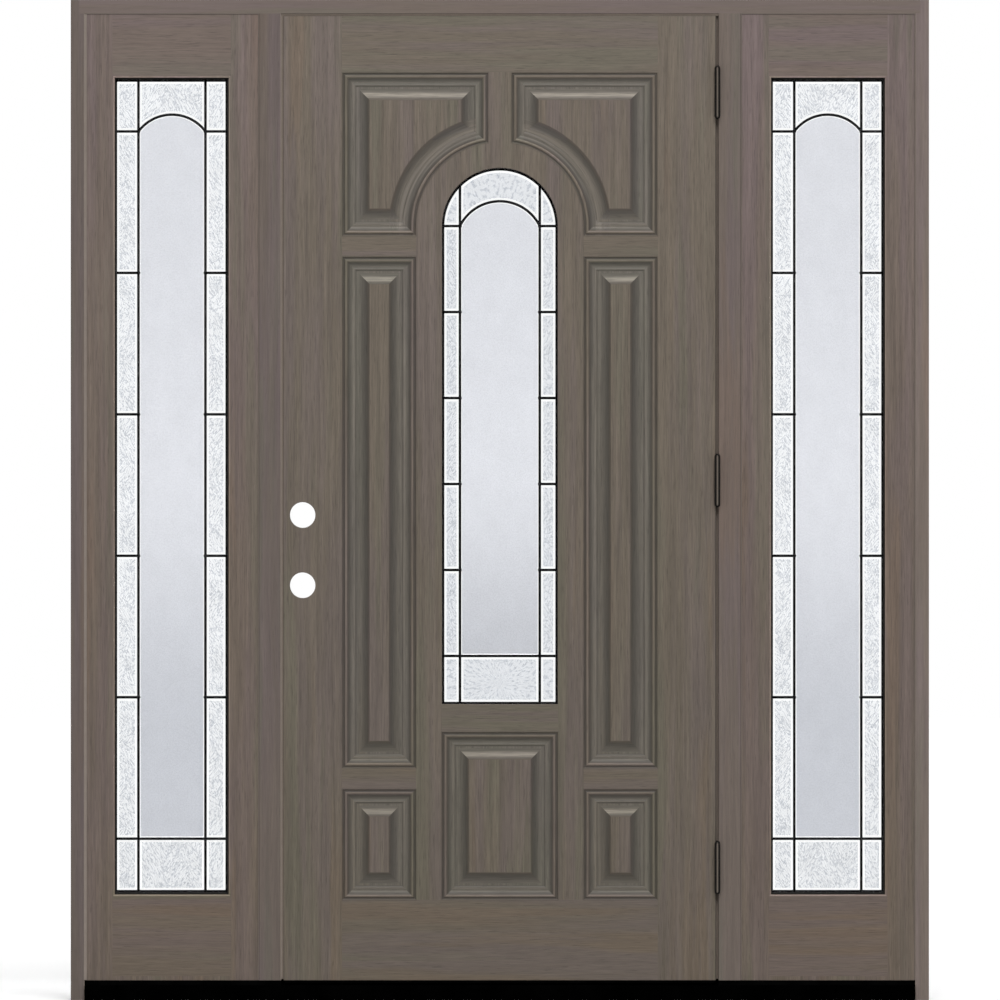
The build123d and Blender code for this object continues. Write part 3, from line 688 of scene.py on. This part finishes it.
def evenShade(piece):
    even = piece.modifiers.new("evenShade", "WEIGHTED_NORMAL")
    even.keep_sharp = True


foam = dict(colour=srgb(226, 214, 176), dark=srgb(196, 182, 142), cell=420.0)


def finishFoam():
    material, bench = newFinish("pouredFoam")
    spot = bench.place()
    cells = bench.cells(bench.scaled(spot, (foam["cell"],) * 3))
    colour = bench.tint(bench.span(cells, 0.1, 0.7), foam["dark"], foam["colour"])
    bench.finish(bench.surface(Base_Color=colour, Roughness=0.9, Normal=bench.bump(cells, 0.0006, 0.6)))
    wear(("door_foam_core",), material)


glass = dict(
    pane=(0.985, 0.99, 0.99, 1.0), paneBend=1.12, bend=1.45, centre=srgb(224, 225, 231),
    centreMid=srgb(228, 229, 235), centreShadedLow=srgb(200, 202, 209), border=srgb(246, 247, 249),
    speck=srgb(196, 200, 208), slants=(0.55, -0.5), needleScale=(230.0, 1.0, 60.0),
    fanScale=(300.0, 1.0, 100.0), archFan=(1.61, 1.6254), lowFan=(0.71, 0.665),
    fanHalf=0.13, fanRadius=0.045, leafHalf=0.2, leafGrey=0.35,
)


def evenScale(scale):
    return scale, scale, scale


def lampsThrough(bench, shader):
    # Lamps shine through, so the light doesn't stop at the glass
    clear = bench.put("ShaderNodeBsdfTransparent")
    choose = bench.put("ShaderNodeMixShader")
    bench.feed(choose.inputs[0], bench.put("ShaderNodeLightPath").outputs["Is Shadow Ray"])
    bench.feed(choose.inputs[1], shader)
    bench.feed(choose.inputs[2], clear.outputs[0])
    bench.finish(choose.outputs[0])


def asGlass(bench, colour, rough, bend, normal=None):
    lampsThrough(bench, bench.surface(Base_Color=colour, Roughness=rough, IOR=bend, Transmission_Weight=1.0,
                                      Normal=normal))


def finishPanes():
    material, bench = newFinish("safetyPane")
    asGlass(bench, glass["pane"], 0.0, glass["paneBend"])
    wear(["door_safety_panes"] + [f"{side}_sidelite_safety_panes" for side in sides], material)


def finishCentre():
    material, bench = newFinish("mistGlass")
    spot = bench.place()
    x, y, z = bench.split(spot)
    cloud = bench.noise(bench.scaled(spot, (26.0, 26.0, 17.0)), 5.0, 0.65)
    grainy = bench.noise(bench.scaled(spot, evenScale(330.0)), 2.0)
    # Painted shade: the centre glass is darker and bluer towards its foot
    low = bench.span(z, 0.55, 1.12, 0.0, 1.0, "SMOOTHSTEP")
    colour = bench.tint(low, glass["centreShadedLow"], glass["centreMid"])
    colour = bench.tint(bench.span(z, 1.15, 1.65, 0.0, 1.0, "SMOOTHSTEP"), colour, glass["centre"])
    shade = bench.plus(bench.span(cloud, 0.3, 0.7, 0.955, 1.03), bench.span(grainy, 0.3, 0.7, -0.12, 0.12))
    # Painted shade: darker again low in the middle of the leaf
    lowShade = bench.times(bench.near(x, 0.0, glass["leafHalf"]), bench.span(z, 0.78, 1.1, 0.1, 0.0))
    colour = bench.dimmed(colour, bench.minus(shade, lowShade))
    lump = bench.noise(bench.scaled(spot, evenScale(60.0)), 3.0)
    asGlass(bench, colour, 0.28, glass["bend"], bench.bump(lump, 0.0015, 0.5))
    return material


def slantedNeedles(bench, spot, x, z):
    slanted = []
    for angle in glass["slants"]:
        cosine, sine = math.cos(angle), math.sin(angle)
        u = bench.minus(bench.times(x, cosine), bench.times(z, sine))
        v = bench.plus(bench.times(z, cosine), bench.times(x, sine))
        along = bench.scaled(bench.point(u, 0.0, v), glass["needleScale"])
        slanted.append(bench.noise(along, 1.0, 0.5, 0.4))
    drift = bench.noise(bench.scaled(spot, (24.0, 24.0, 14.0)), 1.0)
    return bench.between(bench.span(drift, 0.44, 0.56), *slanted)


# Needles that fan out from the middle of the leaf's arched and bottom cells, and where they lie
def fannedNeedles(bench, x, z):
    upper = bench.calc("GREATER_THAN", z, glass["archFan"][1])
    rise = bench.minus(z, bench.between(upper, glass["lowFan"][1], glass["archFan"][0]))
    fan = bench.times(bench.calc("ARCTAN2", x, rise), glass["fanRadius"])
    ray = bench.point(fan, 0.0, bench.reach(x, rise))
    fanned = bench.calc("MAXIMUM", upper, bench.calc("LESS_THAN", z, glass["lowFan"][0]))
    fanned = bench.times(fanned, bench.near(x, 0.0, glass["fanHalf"]))
    return bench.noise(bench.scaled(ray, glass["fanScale"]), 1.0, 0.5, 0.3), fanned


def borderFinishes():
    bevel, bench = newFinish("bevelledMargin")
    asGlass(bench, grey(1.0), 0.02, glass["bend"])
    rain, bench = newFinish("needleGlass")
    spot = bench.place()
    x, y, z = bench.split(spot)
    slanted = slantedNeedles(bench, spot, x, z)
    fan, fanned = fannedNeedles(bench, x, z)
    grains = bench.noise(bench.scaled(spot, evenScale(300.0)), 2.0, 0.6)
    cloud = bench.noise(bench.scaled(spot, evenScale(22.0)), 2.0)
    stroke = bench.span(bench.size(bench.minus(slanted, 0.5)), 0.005, 0.07)
    mark = bench.between(fanned, stroke, bench.span(fan, 0.34, 0.5))
    mark = bench.calc("MAXIMUM", mark, bench.span(grains, 0.5, 0.68, 0.0, 1.0))
    colour = bench.tint(mark, glass["speck"], glass["border"])
    # Painted shade: the border cells darken towards the bottom, as the centre glass does
    shade = bench.times(bench.span(cloud, 0.3, 0.7, 0.96, 1.04), bench.span(z, 0.25, 0.9, 0.86, 1.0))
    colour = bench.dimmed(colour, shade)
    # The leaf's own cells are greyer than the sidelites'
    leafCell = bench.calc("LESS_THAN", bench.size(x), glass["leafHalf"])
    colour = bench.tint(bench.times(leafCell, glass["leafGrey"]), colour, glass["speck"])
    needle = bench.between(fanned, slanted, fan)
    asGlass(bench, colour, 0.12, glass["bend"], bench.bump(needle, 0.0008, 0.5))
    return bevel, rain


# Leaded glass: a rim, two uprights, side rows, a full-width bottom row and an arch between the uprights.
# rim gives how far the rim covers the glass at the left, right, bottom and top of the opening.
sideliteLite = dict(half=0.1195, low=0.222, top=1.9365, column=0.07035, row=1.8241, step=0.2971, rise=0.0353,
                    rim=(0.0044, 0.0072, 0.0090, 0.0082))
lites = dict(
    door=dict(x=0.0, half=0.1237, low=0.619, top=None, spring=1.6254, column=0.0838, row=1.6254, step=0.1806,
              rise=0.0521, rim=(0.0072,) * 4),
    left=dict(x=-0.68875, **sideliteLite),
    right=dict(x=0.68875, **sideliteLite),
)
leading = dict(
    middle=-0.034775, wide=0.0056, sight=0.002, lap=0.0006, arcStep=math.radians(2.5), glassHalf=0.002,
    edgeHalf=0.0013, margin=0.0052, centreMargin=0.0026, joint=0.0041, rows=6, inSpring=0.0045,
    face=((-1.0, 0.0014), (-0.94, 0.0022), (-0.7, 0.0027), (-0.3, 0.003), (0.3, 0.003), (0.7, 0.0027),
          (0.94, 0.0022), (1.0, 0.0014)),
    rimFace=((0.0, 0.0014), (0.06, 0.0022), (0.2, 0.0027), (0.4, 0.003), (0.75, 0.003), (0.9, 0.0026), (1.0, 0.0014)),
    drop=((1.0, 0.0024), (0.85, 0.0031), (0.5, 0.0036), (0.15, 0.0038)),
)


def arcPoints(x, z, radius, first, last):
    pieces = max(2, math.ceil(abs(last - first) / leading["arcStep"]))
    angles = [first + (last - first) * step / pieces for step in range(pieces + 1)]
    return [Vector((x + radius * math.cos(angle), z + radius * math.sin(angle))) for angle in angles]


def liteOutline(lite, share=1.0, inward=0.0):
    # The opening, moved inward by a share of the rim's cover on each side, plus the same again all round
    left, right, low, top = [cover * share + inward for cover in lite["rim"]]
    x0, x1, z0 = lite["x"] - lite["half"] + left, lite["x"] + lite["half"] - right, lite["low"] + low
    if lite["top"]:
        z1 = lite["top"] - top
        return [Vector((x0, z0)), Vector((x1, z0)), Vector((x1, z1)), Vector((x0, z1))]
    crown = arcPoints(lite["x"], lite["spring"], lite["half"] - top, 0, math.pi)
    return [Vector((x0, z0)), Vector((x1, z0)), *crown]


def innerArch(lite, radiusShift, half):
    # The arch over the centre glass, cut off at a half width
    radius = (lite["column"] ** 2 + lite["rise"] ** 2) / (2 * lite["rise"])
    centre = lite["row"] + lite["rise"] - radius
    reach = radius + radiusShift
    turn = math.acos(min(1.0, half / reach))
    return arcPoints(lite["x"], centre, reach, turn, math.pi - turn)


def rowHeights(lite):
    return [lite["row"] - lite["step"] * i for i in range(leading["rows"])]


def block(x0, x1, z0, z1):
    return [(x0, z0), (x1, z0), (x1, z1), (x0, z1)]


# Every border cell, each reaching a little way under its cames, and the centre glass
def cellOutlines(lite):
    under = leading["wide"] / 2 - leading["lap"]
    x, inner, outer = lite["x"], lite["column"] - under, lite["column"] + under
    rows = rowHeights(lite)
    edge = liteOutline(lite, 1.0, -leading["lap"])
    x0, x1, floor = edge[0].x, edge[1].x, edge[0].y
    cells = []
    for high, low in zip(rows, rows[1:] + [None]):
        bottom = floor if low is None else low + under
        cells.append(block(x0, x - outer, bottom, high - under))
        cells.append(block(x + outer, x1, bottom, high - under))
    cells.append(block(x - inner, x + inner, floor, rows[-1] - under))
    overArch, underArch = innerArch(lite, under, inner), innerArch(lite, -under, inner)
    start = rows[0] + under
    if lite["top"]:
        ceiling = edge[2].y
        cells.append(block(x0, x - outer, start, ceiling))
        cells.append(block(x + outer, x1, start, ceiling))
        cells.append([(x + inner, ceiling), (x - inner, ceiling), *reversed(overArch)])
    else:
        reach = lite["half"] - lite["rim"][3] + leading["lap"]
        rise, open = math.asin((start - lite["spring"]) / reach), math.acos(inner / reach)
        side = arcPoints(x, lite["spring"], reach, rise, math.acos(outer / reach))
        cells.append([(x + outer, start), *side])
        cells.append([(x - outer, start), *[(2 * x - spot.x, spot.y) for spot in side]][::-1])
        cells.append([*arcPoints(x, lite["spring"], reach, open, math.pi - open), *reversed(overArch)])
    centre = [(x - inner, rows[-1] + under), (x + inner, rows[-1] + under), *underArch]
    return [[Vector(spot) for spot in cell] for cell in cells], [Vector(spot) for spot in centre]


def awayFrom(point, start, end):
    edge = end - start
    share = max(0.0, min(1.0, (point - start).dot(edge) / edge.length_squared))
    return (point - start - edge * share).length


def innerOutline(points, margin, step=0.0015):
    # The outline moved inward by the margin, without the loops that sharp corners would give it
    kept = []
    count = len(points)
    pairs = [(points[i], points[(i + 1) % count]) for i in range(count)]
    for i, (start, end) in enumerate(pairs):
        along = (end - start).normalized()
        inward = Vector((-along.y, along.x))
        before = (start - pairs[i - 1][0]).normalized()
        turn = Vector((-before.y, before.x)) + inward
        tries = [start + turn * margin / max(0.05, turn.dot(inward))]
        pieces = max(1, math.ceil((end - start).length / step))
        tries += [start.lerp(end, k / pieces) + inward * margin for k in range(pieces + 1)]
        for spot in tries:
            if min(awayFrom(spot, *pair) for pair in pairs) > margin - 1e-6:
                if not kept or (spot - kept[-1]).length > 1e-5:
                    kept.append(spot)
    straight = []
    for i, spot in enumerate(kept):
        before, after = spot - kept[i - 1], kept[(i + 1) % len(kept)] - spot
        if min(before.length, after.length) > 1e-6:
            if abs(before.normalized().cross(after.normalized())) > 0.01:
                straight.append(spot)
    return straight


def atDepth(shape, spots, depth):
    return [shape.verts.new((spot[0], leading["middle"] + depth, spot[1])) for spot in spots]


def cutCell(shape, outline, margin):
    # A pane with a bevelled margin on both faces round its flat middle
    middle = innerOutline(outline, margin)
    edges = []
    for out in (-1, 1):
        rim = atDepth(shape, outline, out * leading["edgeHalf"])
        plateau = shape.faces.new(atDepth(shape, middle, out * leading["glassHalf"]))
        plateau.material_index = 1
        around = [shape.edges.new((rim[i - 1], rim[i])) for i in range(len(rim))]
        for bevel in bmesh.ops.bridge_loops(shape, edges=around + list(plateau.edges))["faces"]:
            bevel.material_index = 0
        edges += around
    for wall in bmesh.ops.bridge_loops(shape, edges=edges)["faces"]:
        wall.material_index = 0


def layCells(outlines, nodeName, pieceName, body, margin, finishes):
    shape = bmesh.new()
    for outline in outlines:
        cutCell(shape, outline, margin)
    bmesh.ops.recalc_face_normals(shape, faces=shape.faces)
    addPiece(pieceName, shape, finishes, body, nodeName, smooth=False)


def runCame(shape, path):
    # Came bar with rounded faces along a path of (x, z) points
    half, face = leading["wide"] / 2, leading["face"]
    ring = [(across, -deep) for across, deep in face] + [(-across, deep) for across, deep in face]
    rows = []
    for i, spot in enumerate(path):
        first = (spot - path[i - 1] if i else path[i + 1] - spot).normalized()
        second = (path[i + 1] - spot if i < len(path) - 1 else first).normalized()
        normal = Vector((-first.y, first.x)) + Vector((-second.y, second.x))
        normal *= 2 / normal.length_squared
        rows.append([shape.verts.new((spot.x + normal.x * across * half, leading["middle"] + deep,
                                      spot.y + normal.y * across * half)) for across, deep in ring])
    joinRows(shape, rows)
    shape.faces.new(rows[0])
    shape.faces.new(list(reversed(rows[-1])))


def ringCame(shape, lite):
    # The rim: its cover differs from side to side, so it is a band between two outlines
    outer, inner = liteOutline(lite, 0.0, leading["sight"] * 0.5), liteOutline(lite, 1.0)
    steps = leading["rimFace"]
    rows = []
    for share, deep in [(share, -deep) for share, deep in steps] + list(reversed(steps)):
        rows.append(atDepth(shape, [a + (b - a) * share for a, b in zip(outer, inner)], deep))
    joinRows(shape, rows, closed=True)


def solder(shape, x, z):
    # Flat drop of solder over a joint, on both faces
    for out in (-1, 1):
        rows = []
        for share, deep in leading["drop"]:
            radius = leading["joint"] * share
            round = [(x + radius * math.cos(turn), z + radius * math.sin(turn)) for turn in turned(20)]
            rows.append(atDepth(shape, round, out * deep))
        joinRows(shape, rows)
        shape.faces.new(rows[-1])


def layCames(lite, nodeName, pieceName, body, material):
    shape = bmesh.new()
    ringCame(shape, lite)
    x, column, rows = lite["x"], lite["column"], rowHeights(lite)
    edge = liteOutline(lite, 0.5)
    x0, x1, floor, ceiling = edge[0].x, edge[1].x, edge[0].y, edge[2].y
    if not lite["top"]:
        ceiling = lite["spring"] + math.sqrt((lite["half"] - leading["inSpring"]) ** 2 - column ** 2)
    for side, end in ((-1, x0), (1, x1)):
        post = x + side * column
        runCame(shape, [Vector((post, floor)), Vector((post, ceiling))])
        for row in rows[:-1]:
            runCame(shape, [Vector((post, row)), Vector((end, row))])
            solder(shape, post, row)
        solder(shape, post, rows[-1])
    runCame(shape, [Vector((x0, rows[-1])), Vector((x1, rows[-1]))])
    runCame(shape, innerArch(lite, 0.0, column))
    bmesh.ops.recalc_face_normals(shape, faces=shape.faces)
    addPiece(pieceName, shape, (material,), body, nodeName)


# Black gasket between a sidelite's outer pane and its lip, also standing in for the shade there: wider at the right,
# top and bottom
gasketAndShade = dict(
    half=0.1195, bottom=0.222, top=1.9365, centre=0.68875, left=0.0022, right=0.0034, high=0.0036, low=0.0042,
    proud=0.0017,
    profile=((0.0, 0.0), (0.0, 0.7), (0.12, 0.95), (0.35, 1.0), (0.75, 0.8), (0.95, 0.45), (1.0, 0.0)),
)


def gasketAndShadeLoop(centre, share):
    g = gasketAndShade
    return block(centre - g["half"] + g["left"] * share, centre + g["half"] - g["right"] * share,
                 g["bottom"] + g["low"] * share, g["top"] - g["high"] * share)


def layGasketsAndShade(material):
    for side, centre in zip(sides, (-gasketAndShade["centre"], gasketAndShade["centre"])):
        low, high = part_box(f"{side}_sidelite_safety_panes")
        for facing, paneFace, out in (("Outer", low.y, 1), ("Inner", high.y, -1)):
            shape = bmesh.new()
            loops = [(gasketAndShadeLoop(centre, share), paneFace - leaf["front"] - out * gasketAndShade["proud"] * height)
                     for share, height in gasketAndShade["profile"]]
            layRings(shape, loops, sharp=(0, 1, 2, 3))
            if out < 0:
                bmesh.ops.reverse_faces(shape, faces=shape.faces)
            addPiece(f"{side}{facing}GasketAndShade", shape, (material,), "frame")


def finishGlass():
    finishPanes()
    mist = finishCentre()
    bevel, rain = borderFinishes()
    cames = blackFinish("cameBlack", came["colour"], came["wearAndHighlight"], 0.5, 0.04)
    for name, lite in lites.items():
        body = "door" if name == "door" else "frame"
        node = "door" if name == "door" else f"{name}_sidelite"
        piece = "door" if name == "door" else f"{name}Sidelite"
        cells, centre = cellOutlines(lite)
        layCells(cells, f"{node}_border_glass", f"{piece}BorderCells", body,
                 leading["margin"], (bevel, rain))
        layCells([centre], f"{node}_centre_glass", f"{piece}CentrePane", body,
                 leading["centreMargin"], (bevel, mist))
        layCames(lite, f"{node}_cames", f"{piece}Cames", body, cames)
    print("glass cut and leaded")


came = dict(colour=(0.0015, 0.0015, 0.0018, 1.0), wearAndHighlight=(0.005, 0.005, 0.0055, 1.0))


def blackFinish(name, colour, handled, rough, shine, scale=60.0, glint=None):
    material, bench = newFinish(name)
    spot = bench.place()
    cloud = bench.noise(bench.scaled(spot, (scale,) * 3), 4.0, 0.6)
    speckle = bench.noise(bench.scaled(spot, (scale * 14,) * 3), 2.0)
    tint = bench.tint(bench.span(cloud, 0.4, 0.7), colour, handled)
    if glint:
        # Painted highlight along the rounded front that looks outward
        outward = bench.times(bench.facing()[1], -1.0)
        tint = bench.tint(bench.span(outward, 0.93, 0.995, 0.0, 1.0, "SMOOTHSTEP"), tint, glint)
    roughness = bench.span(cloud, 0.3, 0.7, rough - 0.06, rough + 0.08)
    bench.finish(bench.surface(Base_Color=tint, Roughness=roughness, Specular_IOR_Level=shine,
                               Normal=bench.bump(speckle, 0.0002, 0.4)))
    return material


def soften(names, width, steps=2, angle=30):
    for name in names:
        rounding = nodes[name].modifiers.new("softEdge", "BEVEL")
        rounding.width = width
        rounding.segments = steps
        rounding.limit_method = "ANGLE"
        rounding.angle_limit = math.radians(angle)
        rounding.harden_normals = True


def finishMetal():
    spacer = blackFinish("spacerBlack", grey(0.006), grey(0.01), 0.7, 0.1)
    wear(["door_spacer"] + [f"{side}_sidelite_spacer" for side in sides], spacer)
    sill = blackFinish("sillBlack", grey(0.0002), grey(0.0007), 0.6, 0.0, 14.0)
    wear(("sill_deck",), sill)
    composite = blackFinish("compositeBlack", grey(0.0008), grey(0.002), 0.75, 0.0, 30.0)
    wear(("sill_substrate", "sill_bumper", "base_pads", "door_sweep"), composite)
    seal = blackFinish("sealRubber", (0.010, 0.0095, 0.009, 1), (0.016, 0.015, 0.014, 1), 0.7, 0.2, 80.0)
    wear(("weatherstrip",), seal)
    # Pale paint for strips that stand in for highlight lines
    highlightPaint = blackFinish("paleHighlightPaint", srgb(122, 112, 104), srgb(128, 118, 110), 0.6, 0.2, 60.0)
    layFins(blackFinish("finBrown", srgb(104, 94, 86), srgb(110, 100, 91), 0.7, 0.15, 60.0), highlightPaint)
    layBeads(blackFinish("sealantBrown", srgb(99, 90, 84), srgb(104, 95, 88), 0.6, 0.2, 60.0), highlightPaint)
    # Near-black for the gaskets, which also stand in for shade round the sidelite glass
    rubberAndShade = blackFinish("gasketAndShadeBlack", (0.006, 0.0055, 0.005, 1), (0.014, 0.012, 0.010, 1), 0.6, 0.15, 40.0)
    layGasketsAndShade(rubberAndShade)
    hinge = blackFinish("hingeBlack", (0.003, 0.0028, 0.0026, 1), (0.010, 0.0085, 0.007, 1), 0.38, 0.1, 90.0,
                        glint=srgb(98, 90, 82))
    wear(("hinge_frame_flaps", "hinge_door_flaps", "hinge_pins"), hinge)
    turnTips(hinge)
    driveScrews(hinge)
    soften(("hinge_frame_flaps", "hinge_door_flaps"), 0.0004, 2)
    print("metal and rubber finished")


# Hinge fittings: turned tips on the pins, and screws in the flaps
fitting = dict(
    pinX=0.4564, pinY=-0.0655, heights=(1.9055, 1.091, 0.2786), half=0.051, turns=28,
    tip=((0.0, 0.00005), (5.3, 0.00005), (5.6, 0.5), (5.6, 1.2), (5.2, 2.4), (4.3, 3.5), (2.6, 4.3),
         (0.0, 4.6)),
    doorFace=0.4538, frameFace=0.459,
    screws=((-0.045, -0.036), (-0.030, -0.014), (-0.045, 0.012), (-0.030, 0.036)),
    head=((4.3, 0.0), (4.1, 0.2), (3.4, 0.33), (2.7, 0.38)), cross=(1.9, 0.45, 1.1),
)


def turnTips(material):
    f = fitting
    shape = bmesh.new()
    for height in f["heights"]:
        for up in (1, -1):
            rings = []
            for radius, rise in f["tip"]:
                z, turns = height + up * (f["half"] + rise / 1000), turned(f["turns"]) if radius else [0.0]
                rings.append([shape.verts.new((f["pinX"] + radius / 1000 * math.cos(turn),
                                               f["pinY"] + radius / 1000 * math.sin(turn), z)) for turn in turns])
            for below, above in zip(rings, rings[1:]):
                for i in range(f["turns"]):
                    j = i + 1
                    corners = [ring[k % len(ring)] for ring, k in ((below, i), (below, j), (above, j), (above, i))]
                    shape.faces.new(list(dict.fromkeys(corners)))
    bmesh.ops.recalc_face_normals(shape, faces=shape.faces)
    addPiece("hingePinTips", shape, (material,), "frame")


def driveScrew(shape, x, out, y, z, tilt):
    cosine, sine = math.cos(tilt), math.sin(tilt)

    def at(u, v, rise):
        across, up = u * cosine - v * sine, u * sine + v * cosine
        return shape.verts.new((x + out * rise / 1000, y + across / 1000, z + up / 1000))

    rings = [[at(radius * math.cos(turn), radius * math.sin(turn), rise) for turn in turned(24)]
             for radius, rise in fitting["head"]]
    joinRows(shape, rings)
    arm, half, deep = fitting["cross"]
    quarter = ((arm, -half), (arm, half), (half, half))
    cross = [(u * c - v * s, u * s + v * c) for c, s in ((1, 0), (0, 1), (-1, 0), (0, -1)) for u, v in quarter]
    rise = fitting["head"][-1][1]
    upper = [at(u, v, rise) for u, v in cross]
    lower = [at(u * 0.6, v * 0.6, rise - deep) for u, v in cross]
    joinRows(shape, [upper, lower])
    shape.faces.new(lower)
    edges = []
    for ring in (rings[-1], upper):
        edges += [shape.edges.get((ring[i - 1], ring[i])) for i in range(len(ring))]
    bmesh.ops.triangle_fill(shape, edges=edges, use_beauty=True, normal=(out, 0, 0))


def driveScrews(material):
    f = fitting
    for body, face, out in (("door", f["doorFace"], 1), ("frame", f["frameFace"], -1)):
        shape = bmesh.new()
        for height in f["heights"]:
            for i, (y, z) in enumerate(f["screws"]):
                driveScrew(shape, face, out, y, height + z, 0.4 + i * 0.9)
        bmesh.ops.recalc_face_normals(shape, faces=shape.faces)
        addPiece(f"{body}HingeScrews", shape, (material,), body)


# Fin seals that close the gap round the leaf, and sealant beads where the sidelites meet the frame; pale strips at
# the gap's strike side and by the left jamb are painted highlights
fin = dict(front=-0.0566, back=-0.0505, leafHalf=0.4541, post=0.459, leafTop=2.0662, head=2.071, low=0.045,
           hingeFront=-0.0500, hingeBack=-0.0470, hingeClear=0.056, highlightStrip=0.0012)
bead = dict(front=-0.0583, back=-0.0560, low=0.0425, high=2.0694, top=2.0716, post=(0.5056, 0.5075),
            jamb=(0.8700, 0.8722), jambHighlight=(0.8668, 0.8730))


def layStrips(name, strips, material, rounding):
    shape = bmesh.new()
    for x0, x1, y0, y1, z0, z1 in strips:
        for vert in bmesh.ops.create_cube(shape, size=1.0)["verts"]:
            share = vert.co + Vector((0.5, 0.5, 0.5))
            vert.co = Vector((x0 + share.x * (x1 - x0), y0 + share.y * (y1 - y0), z0 + share.z * (z1 - z0)))
    piece = addPiece(name, shape, (material,), "frame")
    bevel = piece.modifiers.new("roundedStrip", "BEVEL")
    bevel.width = rounding
    bevel.segments = 2
    bevel.harden_normals = True


def layFins(material, highlightStrip):
    f = fin
    across, face, deep = f["leafHalf"], f["front"], f["back"]
    strips = [(-f["post"] + f["highlightStrip"], -across, face, deep, f["low"], f["leafTop"]),
              (-f["post"], f["post"], face, deep, f["leafTop"], f["head"])]
    stops = [f["low"]]
    for height in sorted(fitting["heights"]):
        stops += [height - f["hingeClear"], height + f["hingeClear"]]
    stops.append(f["leafTop"])
    for low, high in zip(stops[::2], stops[1::2]):
        strips.append((across, f["post"], f["hingeFront"], f["hingeBack"], low, high))
    layStrips("gapFinSeals", strips, material, 0.0003)
    # A pale strip at the strike side of the gap: a painted highlight line
    edge = (-f["post"], -f["post"] + f["highlightStrip"], face, deep, f["low"], f["leafTop"])
    layStrips("strikeGapHighlight", [edge], highlightStrip, 0.0002)


def layBeads(material, highlightStrip):
    b = bead
    depths, heights = (b["front"], b["back"]), (b["low"], b["high"])
    right = [(*across, *depths, *heights) for across in (b["post"], b["jamb"])]
    left = (-b["post"][1], -b["post"][0], *depths, *heights)
    tops = [(*sorted((side * b["post"][0], side * b["jamb"][1])), *depths, b["high"], b["top"]) for side in (-1, 1)]
    layStrips("sealantBeads", [*right, left, *tops], material, 0.0003)
    # A pale bead by the left jamb: a painted highlight line
    near, far = b["jambHighlight"]
    layStrips("jambHighlightBead", [(-far, -near, *depths, *heights)], highlightStrip, 0.0004)


def crispEdges():
    for name in nodes:
        if "skin" in name:
            evenShade(nodes[name])
    soften(("left_side_jamb", "right_side_jamb", "head_jamb", "strike_mullion", "hinge_mullion"), 0.0009)
    soften(("sill_deck", "sill_bumper", "base_pads", "door_sweep"), 0.0008)
    soften(("weatherstrip",), 0.0018, 3)
    print("edges eased")


setCamera()
setStudio()
finishWood()
finishFoam()
finishGlass()
finishMetal()
crispEdges()
